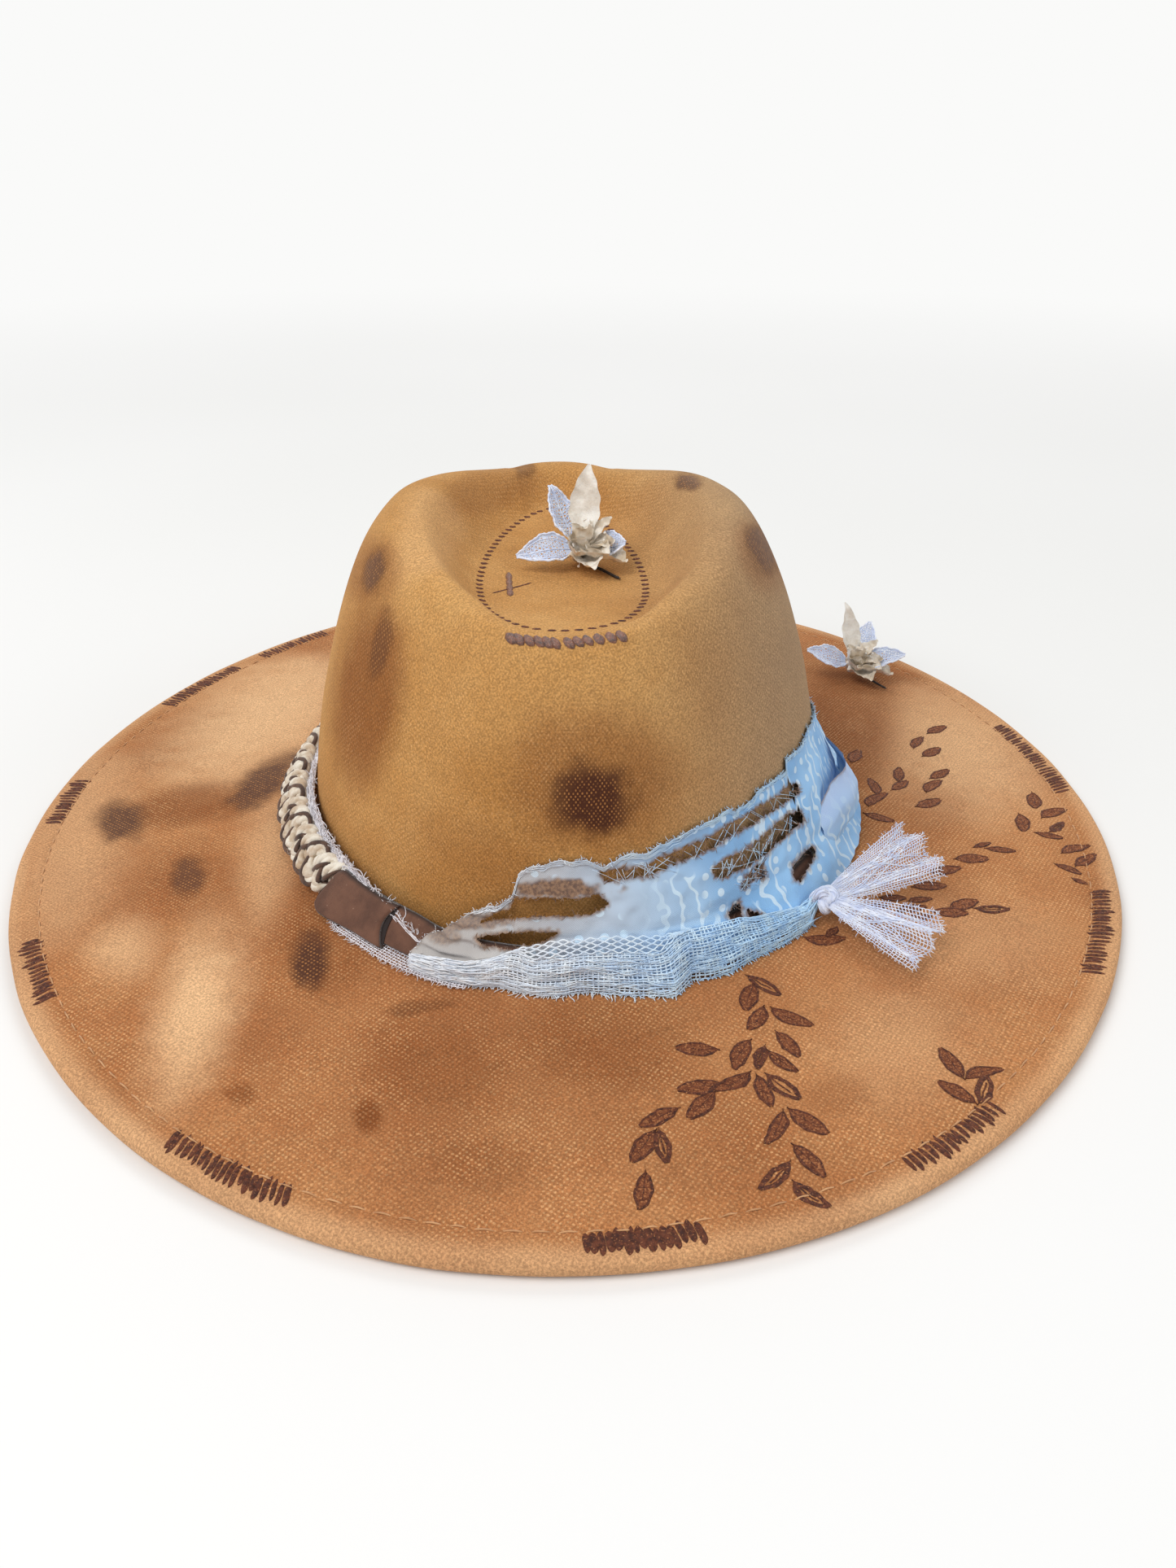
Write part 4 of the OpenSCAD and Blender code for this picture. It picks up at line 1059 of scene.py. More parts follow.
floor_turns = np.linspace(0, 360, 4001)
ring_length = run_length(crown_point(floor_turns, DASH_SHARE))
for at in np.arange(0, ring_length[-1], DASH_STEP):
    turn = np.interp(at + rng.normal(0, 0.15), ring_length, floor_turns)
    a = rng.normal(0.0, 0.2)
    slant = 0.2 * math.sin(math.radians(2 * turn))
    way = np.array([math.cos(a), math.sin(a) - slant, 0])
    spot = crown_point(turn, DASH_SHARE) + DASH_SHIFT
    crown_flake(dashes, spot, way, DASH_HALF, rng.uniform(0.7, 0.9), DASH_LIFT)
for share in np.linspace(0, 1, STROKE_COUNT):
    px, py = (np.interp(share, (0, 0.5, 1), ends) for ends in zip(*STROKE_ROW))
    way = np.array([0.55 + rng.normal(0, 0.08), -0.8, -0.3])
    spot = crown_at(px + rng.normal(0, 1.0), py)
    crown_flake(thick_strokes, spot, way, THICK_HALF, rng.uniform(1.1, 1.35), THICK_LIFT)
for bar, heap, half_width, lift in ((CROSS_BAR, dashes, 0.4, 0.15), (CROSS_POST, thick_strokes, 1.0, 0.6)):
    a, b = (crown_at(*pixel) for pixel in bar)
    for share in np.linspace(0.12, 0.88, CROSS_FLAKES):
        crown_flake(heap, mix(a, b, share), b - a, np.linalg.norm(b - a) / 6, half_width, lift)
dashes.piece("dent_burnt_dashes", BURNT, "hat")
thick_strokes.piece("dent_thick_strokes", BURNT_THICK, "hat")


# Band: lengths round it, places on it, and threads

# Distance out from the head oval at which lengths round the band are measured
LAP_OUT = 6.0
lap_turns = np.linspace(-180, 540, 7201)
lap_length = run_length(points(*oval(lap_turns, LAP_OUT), 0))
SLANT = math.hypot(GAUZE_TOP - GAUZE_LOW, BAND_SPLAY)
BAND_FACE = (GAUZE_TOP - GAUZE_LOW) / SLANT, BAND_SPLAY / SLANT


def length_at(turn):
    return np.interp(turn, lap_turns, lap_length)


def turn_at(length):
    return np.interp(length, lap_length, lap_turns)


def band_normal(turn):
    a = np.radians(turn)
    return points(np.cos(a) * BAND_FACE[0], np.sin(a) * BAND_FACE[0], BAND_FACE[1])


# Turn and pixel column of the band at the back, and the change of turn per pixel
BACK_TURN, BACK_COLUMN, TURN_PER_PIXEL = 270, 745, 0.14
# Height at which the search for a pixel starts, its step and the most it moves at once
SEEK_FROM, SEEK_STEP, SEEK_MOST, SEEK_ROUNDS = 20.0, 0.1, 4, 25


def turn_near(px):
    """About the turn of the band that shows at a pixel's column."""
    return BACK_TURN + TURN_PER_PIXEL * (px - BACK_COLUMN)


def band_at(px, py, gap):
    """Turn and height of the point of the band, at a gap, that shows at a pixel."""
    at = np.array([turn_near(px), SEEK_FROM])
    steps = np.array([[0, 0], [SEEK_STEP, 0], [0, SEEK_STEP]])
    for _ in range(SEEK_ROUNDS):
        now, aside, above = (in_photo(on_band(*(at + step), gap)) for step in steps)
        tilt = np.stack([aside - now, above - now], -1) / SEEK_STEP
        at = at + np.clip(np.linalg.solve(tilt, np.array([px, py]) - now), -SEEK_MOST, SEEK_MOST)
    return at


def cloth_threads(heap, place, length, height, pitch, radius, loose=0.25):
    """Threads both ways over a cloth: place(along, across, lift) gives its points in mm."""
    along = np.arange(0, length + pitch / 2, pitch)
    rows = np.arange(0, height + pitch / 2, pitch)
    over = np.where(np.arange(max(len(along), len(rows))) % 2, 1, -1) * radius * 0.8
    for k, across in enumerate(rows):
        shift = loose * noise(points(along, across, 5.0 * k), 7, 12)
        heap.tube(place(along, across + shift, over[: len(along)] * (-1) ** k), radius, 4)
    for k, at in enumerate(along):
        shift = loose * noise(points(rows, at, 7.0 * k), 7, 13)
        heap.tube(place(at + shift, rows, -over[: len(rows)] * (-1) ** k), radius, 4)


# Gauze strip under the band, with a flap on the brim below the keeper

# Upper edge of the gauze, turn and height: it slips down behind the strap
GAUZE_EDGE = (
    (185, 22.3), (199, 21.8), (209, 20.9), (218, 20.3), (224.5, 18.9), (230, 17.1), (232, 15.8),
    (236, 14.5), (262, 14.5), (276, 22.3),
)
FLAP_START, FLAP_END, FLAP_REACH = 216.0, 249.0, 5.4
GAUZE_PITCH, FLAP_PITCH, GAUZE_RADIUS = 1.0, 0.9, 0.19
# Turns between which the upper edge is in sight, and the threads that lie along it there
GAUZE_SEEN, GAUZE_HIDDEN, GAUZE_LAID = 185, 236, 520
gauze_edge = np.array(GAUZE_EDGE).T
gauze_lap = length_at(360) - length_at(0)
flap_length = length_at(FLAP_END) - length_at(FLAP_START)


def on_gauze(along, across, lift):
    turn = turn_at(length_at(0) + along)
    z = mix(GAUZE_LOW, np.interp(turn, *gauze_edge), across / SLANT)
    fluffy = smooth(GAUZE_SEEN, 200, turn) * smooth(250, 240, turn) * smooth(0.75, 1.0, across / SLANT)
    return on_band(turn, z, GAUZE_GAP + lift + 1.2 * fluffy)


def on_flap(along, across, lift):
    along, across = np.broadcast_arrays(along, across)
    turn = turn_at(length_at(FLAP_START) + along)
    share = across / FLAP_REACH * smooth(FLAP_START - 1, FLAP_START + 6, turn)
    wave = 0.5 * noise(points(along, 0, 0), 6, 15) * share
    out = BAND_SPLAY + GAUZE_GAP + FLAP_REACH * share + wave
    x, y = oval(turn, out)
    return points(x, y, mix(GAUZE_LOW, brim_top(out) + 0.75, np.minimum(1, 2 * share)) + lift)


gauze, gauze_frays = Heap(), Heap()
cloth_threads(gauze, on_gauze, gauze_lap, SLANT, GAUZE_PITCH, GAUZE_RADIUS)
cloth_threads(gauze, on_flap, flap_length, FLAP_REACH, FLAP_PITCH, GAUZE_RADIUS)
for at in np.arange(0, gauze_lap, 0.8):
    turn = float(turn_at(length_at(0) + at))
    seen = GAUZE_SEEN < turn < GAUZE_HIDDEN
    along = np.array([*cos_sin(turn + 90), 0])
    for _ in range(3 if seen else 1):
        start = on_gauze(at + rng.normal(0, 0.3), SLANT - rng.uniform(0, 1.6), rng.uniform(0, 0.4))
        way = unit(along * rng.normal(0, 0.9) + np.array([0, 0, 0.8]))
        gauze_frays.fray(start, way, rng.uniform(1.2, 3.4 if seen else 1.8), 0.3, 0.14)
for at in np.arange(2, flap_length, 0.4):
    start = on_flap(at, FLAP_REACH - 0.2, 0.1)
    way = outward(turn_at(length_at(FLAP_START) + at), rng.normal(0, 0.7), rng.uniform(-0.02, 0.15))
    gauze_frays.fray(start, way, rng.uniform(0.6, 2.2), 0.14, 0.15)
for _ in range(GAUZE_LAID):
    at = length_at(rng.uniform(GAUZE_SEEN + 3, GAUZE_HIDDEN)) - length_at(0)
    along = at + np.linspace(0, rng.uniform(3, 10), 14)
    across = SLANT - 0.6 + rng.normal(0, 1.1) + strayed(along, 0.9, 3, 16)
    lift = 0.3 + np.abs(rng.normal(0, 0.5)) + strayed(along, 0.5, 3, 17, 9)
    gauze_frays.thin(on_gauze(along, across, lift), 0.17)
gauze_obj = gauze.piece("gauze_strip", GAUZE_THREAD, "band", node="gauze_band", slot="gauze")
gauze_fray_obj = gauze_frays.piece("gauze_frays", GAUZE_THREAD, "band", slot="gauze")

# Braid: strands of three twisted plies that cross over and under, each with a dark cord along one side

BRAID_STRANDS, BRAID_REPEAT, BRAID_DEPTH, BRAID_NARROW = 3, 19.0, 1.25, 0.62
PLY_COUNT, PLY_RADIUS, PLY_OFFSET, PLY_TWIST = 3, 1.15, 1.0, 8.0
DARK_RADIUS, DARK_OFFSET, DARK_LIFT, FLUFF_COUNT, FLUFF_RADIUS = 0.8, 1.9, 1.15, 420, 0.06
# How far the braid is pressed in where it runs under the keeper and under the cloth
BRAID_PRESS = 1.6
braid_light, braid_dark, braid_fluff = Heap(), Heap(), Heap()
braid_along = np.arange(length_at(BRAID_RIGHT - 360) + 0.5, length_at(BRAID_LEFT + 1.5), 0.5)
braid_turn = turn_at(braid_along)
pressed = np.maximum(smooth(6, 1, braid_along[-1] - braid_along), smooth(58, 47, braid_turn))
braid_gap = BRAID_GAP - BRAID_PRESS * pressed
face = band_normal(braid_turn)
for strand in range(BRAID_STRANDS):
    phase = 2 * np.pi * (braid_along / BRAID_REPEAT + strand / BRAID_STRANDS)
    over = -np.sin(2 * phase) * (1 - 0.8 * pressed)
    heights = BRAID_MIDDLE + (BRAID_SWING - BRAID_NARROW) * np.cos(phase)
    middle = on_band(braid_turn, heights, braid_gap + BRAID_DEPTH * over)
    side = unit(np.cross(unit(np.gradient(middle, axis=0)), face))
    swell = (1 + 0.08 * over + 0.1 * noise(middle, 2.2, 18)) * (1 - 0.3 * pressed)
    for ply in range(PLY_COUNT):
        twist = 2 * np.pi * (braid_along / PLY_TWIST + ply / PLY_COUNT)[:, None]
        path = middle + PLY_OFFSET * swell[:, None] * (np.cos(twist) * side + 0.75 * np.sin(twist) * face)
        braid_light.tube(path, PLY_RADIUS * swell, 8, face)
    edge = DARK_OFFSET * (-1) ** strand
    cord = middle + edge * swell[:, None] * side + (DARK_LIFT - 0.9 * pressed)[:, None] * face
    braid_dark.tube(cord, DARK_RADIUS * (1 + 0.15 * noise(cord, 2, 19)) * (1 - 0.5 * pressed), 6, face)
for _ in range(FLUFF_COUNT):
    turn = float(turn_at(rng.uniform(braid_along[0], braid_along[-1])))
    start = on_band(turn, BRAID_MIDDLE + rng.uniform(-4.8, 4.8), BRAID_GAP + rng.uniform(0.8, 1.5))
    way = unit(band_normal(turn) * rng.uniform(0.2, 0.7) + rng.normal(0, 0.7, 3))
    braid_fluff.tube(loose_end(start, way, rng.uniform(0.8, 2.0), 0.4, 6), FLUFF_RADIUS, 3)
braid_light.piece("braid_cords", BRAID_CREAM, "band", node="braid_band", slot="braid")
braid_dark.piece("braid_dark_cords", BRAID_DARK, "band", slot="braid")
braid_fluff.piece("braid_fluff", BRAID_CREAM, "band", slot="braid")

# Suede keeper, a dark strip of painted shadow in the gap at its end, and the strap that runs through it

SUEDE_SHARE = np.concatenate([[0, 0.02, 0.05], np.linspace(0.09, 0.91, 19), [0.95, 0.98, 1]])[:, None]
SUEDE_FACE, SUEDE_EASE = 1.15 * SUEDE_THICK, 0.45


def suede_strip(name, node, turns, low, high, gap, waves=0.0):
    """A strip of suede with eased, darker cut edges; turns may change over its height."""
    heights = mix(low, high, SUEDE_SHARE)
    turns = np.broadcast_to(turns, heights.shape)
    along = length_at(turns)
    from_end = np.minimum(along - along[:, :1], along[:, -1:] - along)
    rim = np.maximum(smooth(0.07, 0, SUEDE_SHARE), smooth(0.93, 1, SUEDE_SHARE))
    eased = (1 - SUEDE_EASE * rim) * (1 - SUEDE_EASE * smooth(0.9, 0, from_end))
    ripple = waves * noise(points(along, heights, 0), 9, 20)
    outer_face = on_band(turns, heights, gap + ripple + SUEDE_FACE * eased)
    loop = np.concatenate([outer_face, on_band(turns, heights, gap)[::-1]])
    rows, cols = loop.shape[:2]
    half = rows // 2
    k = np.arange(half - 1)
    ends = np.stack([k, k + 1, rows - 2 - k, rows - 1 - k], -1) * cols
    faces = [grid(rows, cols), between((rows - 1) * cols, 0, cols), ends[:, ::-1], ends + cols - 1]
    darkened = np.maximum(rim**2, smooth(0.5, 0, from_end))
    marks = {"darkened": 0.85 * np.concatenate([darkened, np.ones((half, cols))])}
    return build(name, loop, faces, SUEDE, "band", node, "suede", marks=marks)


def round_corner(radius, distance):
    """How far a round corner draws an edge in, at a distance from the end."""
    left = radius - np.minimum(radius, distance)
    return radius - np.sqrt(radius**2 - left**2)


KEEPER_CORNER, KEEPER_FLARE, KEEPER_HOLLOW, KEEPER_COLS = 4.0, 2.6, 1.3, 70
# A dark strip on the strap at the keeper's end, painted shadow of the gap there: width, lift, rows and
# columns
SHADOW_STRIP_WIDTH, SHADOW_STRIP_LIFT, SHADOW_STRIP_ROWS, SHADOW_STRIP_COLS = 2.0, 0.3, 24, 5
# The strap is lower and higher than the solid by these, and narrows past the keeper
STRAP_BELOW, STRAP_ABOVE, STRAP_NARROW, STRAP_WAVES, STRAP_COLS = 0.8, 0.4, 1.2, 0.25, 240
keeper_end = KEEPER_END + 0.5 - KEEPER_HOLLOW * np.sin(np.pi * SUEDE_SHARE)
keeper_turns = mix(KEEPER_START, keeper_end, np.linspace(0, 1, KEEPER_COLS))
keeper_in = round_corner(KEEPER_CORNER, length_at(keeper_turns) - length_at(KEEPER_START))
keeper_low, keeper_top = KEEPER_LOW + keeper_in, KEEPER_TOP - keeper_in
flare = KEEPER_FLARE * smooth(225, 216, keeper_turns) * (1 - SUEDE_SHARE)
suede_strip("keeper_suede", "suede_keeper", keeper_turns, keeper_low, keeper_top, KEEPER_GAP + flare)
# Painted shadow: the dark strip in the gap between the keeper's end and the strap.
shadow_share = np.linspace(0.06, 0.94, SHADOW_STRIP_ROWS)[:, None]
shadow_left = length_at(KEEPER_END + 0.4 - KEEPER_HOLLOW * np.sin(np.pi * shadow_share))
shadow_along = shadow_left + SHADOW_STRIP_WIDTH * np.sin(np.pi * shadow_share) ** 0.7 * np.linspace(0, 1, SHADOW_STRIP_COLS)
shadow_heights = mix(KEEPER_LOW, KEEPER_TOP, shadow_share)
shadow_points = on_band(turn_at(shadow_along), shadow_heights, STRAP_GAP + SUEDE_FACE + SHADOW_STRIP_LIFT)
shadow_marks = {"darkened": np.ones(shadow_along.shape)}
build("keeper_gap_shadow", shadow_points, grid(SHADOW_STRIP_ROWS, SHADOW_STRIP_COLS), SUEDE, "band", slot="suede", marks=shadow_marks)
strap_turns = np.linspace(STRAP_START, BRAID_RIGHT, STRAP_COLS)
strap_top = STRAP_TOP + STRAP_ABOVE - STRAP_NARROW * smooth(KEEPER_END + 2, KEEPER_END + 14, strap_turns)
suede_strip(
    "strap_suede", "suede_strap", strap_turns, STRAP_LOW - STRAP_BELOW, strap_top, STRAP_GAP, STRAP_WAVES
)

# Gathered gauze along the foot of the cloth: its upper and lower edges at pixels of the photograph
LACE_TOP = (
    (505, 1172), (545, 1178), (574, 1183), (603, 1178), (641, 1164), (684, 1154), (748, 1150), (806, 1150),
    (861, 1140), (908, 1128), (937, 1125), (966, 1118), (1000, 1108),
)
LACE_FOOT = (
    (503, 1190), (545, 1208), (574, 1212), (615, 1215), (673, 1226), (725, 1221), (795, 1224), (830, 1226),
    (850, 1207), (873, 1204), (905, 1192), (931, 1178), (966, 1160), (1000, 1137),
)
LACE_PROFILE, LACE_PITCH, LACE_RADIUS, LACE_GAP_LEFT = 19.0, 1.2, 0.25, 5.8
NET_START, NET_END, NET_DEPTH, NET_ROWS, NET_WAVE, NET_RADIUS = 262.0, 284.0, 6.0, 6, 3.6, 0.25
# Turns over which the net comes in and goes out, and the foot of the band grows to its full depth
NET_COMES, NET_GOES, GROWS_FROM, GROWS_TO = 6, 9, 250, 268
# Turns over which the gauze goes off into the knot, and a reach that stands for no gauze
LACE_LEAVES, LACE_GONE, NO_LACE = 313, 320, 99
# Counts of threads laid over the gauze, bunched at its left end and drawn into the knot
LAID_LACE, BUNCHED_LACE, DRAWN_LACE = 240, 150, 36


def lace_gap(turn):
    return mix(LACE_GAP_LEFT, LACE_GAP, smooth(GROWS_FROM, GROWS_TO, turn))


lace_top = np.array([band_at(px, py, lace_gap(turn_near(px))) for px, py in LACE_TOP]).T
lace_foot = np.array([brim_at(px, py) for px, py in LACE_FOOT]).T
lace_from, lace_to = length_at(LACE_START), length_at(LACE_END)
lace_length = lace_to - lace_from


def lace_edges(turn):
    """Height and distance out of the gathered gauze's upper edge, and distance out of its foot."""
    top, foot = np.interp(turn, *lace_top), np.interp(turn, *lace_foot)
    return top, wall_out(turn, top) + splay(top) + lace_gap(turn), foot


def lace_reach(turn, z):
    """Distance out from the head oval of the gathered gauze, at a height below its upper edge."""
    top, top_out, foot = lace_edges(turn)
    share = np.clip((top - z) / (top - brim_top(foot)), 0, 1)
    return mix(top_out, foot, share) + NO_LACE * np.maximum(z > top, smooth(LACE_LEAVES, LACE_GONE, turn))


# Torn printed cloth

# Upper edge of the cloth: pixels of the photograph where it shows, then turns and heights out of sight
CLOTH_BORDER = (
    (522, 1151), (545, 1141), (562, 1131), (583, 1121), (609, 1115), (628, 1105), (633, 1090), (636, 1076),
    (650, 1068), (690, 1058), (719, 1057), (742, 1067), (758, 1058), (763, 1052), (794, 1048), (812, 1038),
    (858, 1015), (879, 1006), (893, 993), (905, 997), (922, 986), (933, 971), (949, 958), (966, 948),
)
CLOTH_FAR_EDGE = (
    (320, 50), (332, 48.6), (338, 49.4), (345, 46.8), (350, 44), (358, 41), (370, 41), (390, 40),
    (400, 36), (405, 31),
)
# Tears at pixels of the photograph: closed outlines, and slits with half their width in pixels
TEAR_OUTLINES = {
    "left_gap": (
        (593, 1133), (607, 1123), (626, 1118), (632, 1106), (667, 1104), (716, 1105), (735, 1098),
        (746, 1111), (731, 1120), (702, 1125), (655, 1125), (615, 1129),
    ),
    "low_slit": (
        (587, 1153), (610, 1149), (650, 1146), (684, 1146), (670, 1157), (641, 1161), (632, 1165),
        (594, 1161),
    ),
    "by_knot": ((976, 1064), (987, 1051), (999, 1042), (1000, 1052), (993, 1064), (984, 1080), (977, 1081)),
    "spot": ((896, 1123), (903, 1115), (908, 1109), (911, 1117), (910, 1128), (899, 1129)),
    "spot_right": ((921, 1131), (920, 1120), (929, 1121), (937, 1126), (931, 1131)),
}
TEAR_SLITS = {
    "border": (
        (
            (745, 1077), (795, 1070), (824, 1056), (864, 1040), (893, 1023), (922, 1006), (951, 988),
            (975, 970),
        ),
        5.0,
    ),
    "right": (((886, 1070), (908, 1059), (932, 1045), (953, 1025), (978, 1006)), 8.0),
    "short": (((916, 1088), (922, 1077)), 2.5),
    "short_high": (((932, 1066), (936, 1074)), 2.5),
}
# Singed patches: middle and half sizes in pixels, and strength
SINGED = {
    "under_border": (688, 1093, 62, 12, 0.95),
    "ribbon": (575, 1134, 50, 9, 0.7),
    "bunched_end": (545, 1152, 20, 12, 0.6),
    "along_slit": (770, 1074, 40, 9, 0.7),
}
CLOTH_GAP_LEFT, CLOTH_GAP_TOP, UNDER_LACE = 4.8, 0.9, 0.7
# Height of the upper edge at its start, steps along the cloth, rows, and the turn where it goes out of sight
CLOTH_FIRST_TOP, CLOTH_STEP, CLOTH_ROWS, CLOTH_HIDDEN = 13.5, 0.5, 90, 346
# A distance in pixels that stands for no tear, and the most that still counts as a torn rim
NO_TEAR, TORN_RIM = 99.0, 2.2
# Counts of frays on torn rims, laid along the upper edge and left across each part of a slit
RIM_FRAYS, LAID_FRAYS, SLIT_FRAYS = 420, 260, 14


def to_line(q, line):
    """Distance of points from a line of pixels."""
    best = np.full(len(q), 1e9)
    for a, b in zip(np.array(line[:-1], float), np.array(line[1:], float)):
        t = np.clip(((q - a) @ (b - a)) / ((b - a) @ (b - a)), 0, 1)
        best = np.minimum(best, np.linalg.norm(q - a - t[:, None] * (b - a), axis=1))
    return best


def in_outline(q, outline):
    inside = np.zeros(len(q), bool)
    ends = np.array(outline, float)
    for a, b in zip(ends, np.roll(ends, -1, axis=0)):
        crosses = (a[1] > q[:, 1]) != (b[1] > q[:, 1])
        inside ^= crosses & (q[:, 0] < a[0] + (q[:, 1] - a[1]) * (b[0] - a[0]) / (b[1] - a[1] + 1e-9))
    return inside


def cloth_top_gap(turn):
    return mix(CLOTH_GAP_LEFT, CLOTH_GAP_TOP, smooth(246, 260, turn))


shown_edge = [band_at(px, py, cloth_top_gap(turn_near(px))) for px, py in CLOTH_BORDER]
cloth_edge = np.array([(CLOTH_START, CLOTH_FIRST_TOP), *shown_edge, *CLOTH_FAR_EDGE])
cloth_edge[:, 0] = np.maximum.accumulate(cloth_edge[:, 0])


def cloth_lift(turn, z):
    """Gap of the cloth from the crown, with its folds."""
    turn, z = np.broadcast_arrays(turn, z)
    top = np.interp(turn, *cloth_edge.T)
    low_gap = mix(CLOTH_GAP_LEFT, CLOTH_GAP, smooth(GROWS_FROM, GROWS_TO, turn))
    gap = mix(low_gap, cloth_top_gap(turn), smooth(0.35, 1, (z - CLOTH_LOW) / (top - CLOTH_LOW)))
    along = length_at(turn)
    bunched = smooth(258, 243, turn)
    folds = noise(points(along / 4, z - along * 0.12, 0), 5, 21)
    folds = folds + 0.5 * noise(points(along / 2, z, 30), 2.5, 22)
    crumple = 0.3 * noise(points(along, z, 60), 3, 23) * (1 + 1.6 * bunched)
    gathers = bunched * np.sin(1.7 * z + 2.5 * noise(points(along, z / 3, 90), 6, 45))
    lift = gap + ((0.55 + 0.5 * bunched) * folds + crumple + 0.8 * gathers) * smooth(0, 1.6, gap)
    return np.minimum(lift, lace_reach(turn, z) - UNDER_LACE - wall_out(turn, z) - splay(z))


cloth_turns = turn_at(np.arange(length_at(CLOTH_START), length_at(CLOTH_END), CLOTH_STEP))
cloth_along = length_at(cloth_turns)
cloth_tops = np.interp(cloth_turns, *cloth_edge.T)
cloth_tops = cloth_tops + 0.4 * noise(points(cloth_along, 0, 0), 2.2, 24)
cloth_tops = cloth_tops + 0.35 * noise(points(cloth_along, 9, 0), 0.9, 25)
CT, CV = np.meshgrid(cloth_turns, np.linspace(0, 1, CLOTH_ROWS))
CZ = mix(CLOTH_LOW, cloth_tops, CV)
cloth_points = on_band(CT, CZ, cloth_lift(CT, CZ)).reshape(-1, 3)
pixels = in_photo(cloth_points)
seen = (CT < CLOTH_HIDDEN).ravel()
ragged = 2.0 * noise(cloth_points, 1.6, 26) + 1.6 * noise(cloth_points, 0.7, 27)
torn = np.full(len(pixels), NO_TEAR)
for outline in TEAR_OUTLINES.values():
    far = to_line(pixels, outline + outline[:1])
    torn = np.minimum(torn, np.where(in_outline(pixels, outline), -far, far) + ragged)
for line, half_width in TEAR_SLITS.values():
    torn = np.minimum(torn, to_line(pixels, line) - half_width + 1.3 * ragged)
torn = np.where(seen, torn, NO_TEAR)
from_edge = ((1 - CV) * (cloth_tops - CLOTH_LOW)).ravel()
edge_singe = smooth(1.6, 0.2, from_edge + 0.9 * noise(cloth_points, 2.5, 28))
singe = np.maximum(0.9 * smooth(8, 0.5, torn), 0.3 * edge_singe)
patchy = 0.35 * noise(cloth_points, 3, 29) + 0.2 * noise(cloth_points, 1.2, 30)
for px, py, half_x, half_y, strength in SINGED.values():
    far = np.hypot((pixels[:, 0] - px) / half_x, (pixels[:, 1] - py) / half_y)
    singe = np.maximum(singe, strength * smooth(1.25, 0.6, far + patchy) * seen)
cloth_faces = grid(CLOTH_ROWS, len(cloth_turns))
cloth_faces = cloth_faces[(torn[cloth_faces] > 0).all(1)]
cloth_uv = points(length_at(CT).ravel(), CZ.ravel() * 1.15)
used = np.unique(cloth_faces)
renumber = np.zeros(len(cloth_points), int)
renumber[used] = np.arange(len(used))
cloth_obj = build(
    "torn_cloth",
    cloth_points[used],
    renumber[cloth_faces],
    BANDANA,
    "band",
    "bandana_wrap",
    "bandana",
    cloth_uv[used],
    {"singe": singe[used]},
)
cloth_frays, border_frays = Heap(), Heap()
rim = np.flatnonzero((torn > 0) & (torn < TORN_RIM))
for i in rng.choice(rim, min(len(rim), RIM_FRAYS), replace=False):
    way = unit(rng.normal(0, 1, 3) + np.array([0, -0.5, 0.3]))
    cloth_frays.fray(cloth_points[i], way, rng.uniform(0.5, 1.9), 0.3, 0.09, 6)
for start in cloth_points.reshape(CLOTH_ROWS, -1, 3)[-1]:
    way = unit(rng.normal(0, 0.8, 3) + np.array([0, -0.2, 0.7]))
    border_frays.fray(start, way, rng.uniform(0.4, 1.5), 0.3, 0.11, 6)
# Threads that lie along the upper edge
for _ in range(LAID_FRAYS):
    at = rng.uniform(length_at(245), length_at(335))
    turn = turn_at(at + np.linspace(0, rng.uniform(3, 9), 12))
    drop = np.abs(rng.normal(0.3, 0.6)) + strayed(length_at(turn), 0.4, 2.5, 31)
    z = np.interp(turn, cloth_turns, cloth_tops) - drop
    border_frays.thin(on_band(turn, z, cloth_lift(turn, z) + 0.2), 0.15)
# Threads left across the slits
for line, _ in TEAR_SLITS.values():
    for a, b in zip(np.array(line[:-1]), np.array(line[1:])):
        for t in rng.uniform(0, 1, SLIT_FRAYS):
            near = np.argmin(np.linalg.norm(pixels - mix(a, b, t), axis=1) + 1e3 * ~seen)
            turn, z = CT.ravel()[near], CZ.ravel()[near]
            steps = np.linspace(-1, 1, 7) * rng.uniform(0.8, 2.4)
            turns = turn + steps * rng.normal(0, 0.8)
            heap = cloth_frays if rng.random() < 0.6 else border_frays
            heap.tube(on_band(turns, z + steps, cloth_lift(turns, z + steps) + 0.1), 0.1, 3)
cloth_fray_obj = cloth_frays.piece("torn_cloth_threads", FRAY, "band", slot="bandana")
border_fray_obj = border_frays.piece("torn_cloth_border", LACE_THREAD, "band", slot="bandana")

# Loop of the same cloth

LOOP_ROWS, LOOP_COLS, LOOP_DIP, LOOP_FROM = 60, 90, 6.0, LOOP_START + 4
LOOP_RIM, LOOP_CORNER, LOOP_FLAT = LOOP_TOP - 4.5, 9.0, (0.026, 0.053)
LT, LV = np.meshgrid(np.linspace(LOOP_FROM, LOOP_END, LOOP_COLS), np.linspace(0, 1, LOOP_ROWS))
arch = np.sin(np.pi * (LT - LOOP_FROM) / (LOOP_END - LOOP_FROM))
dip = smooth(LOOP_START, LOOP_END, LT)
corner = smooth(0.4, 0, (LT - LOOP_FROM) / (LOOP_END - LOOP_FROM)) ** 2
LZ = mix(LOOP_LOW, LOOP_RIM - LOOP_DIP * dip - LOOP_CORNER * corner, LV)
squeeze = (1 - 0.35 * smooth(0.4, 0, LV)) * (1 - 0.55 * smooth(0.55, 1, LV))
along = length_at(LT)
wrinkles = 0.9 * noise(points(along, LZ / 4, 5), 4, 32) + 0.5 * noise(points(along, LZ, 9), 3, 33)
loop_gap = CLOTH_GAP + 1.4 + 0.72 * LOOP_BULGE * arch * squeeze + arch * wrinkles - 0.8 * splay(LZ)
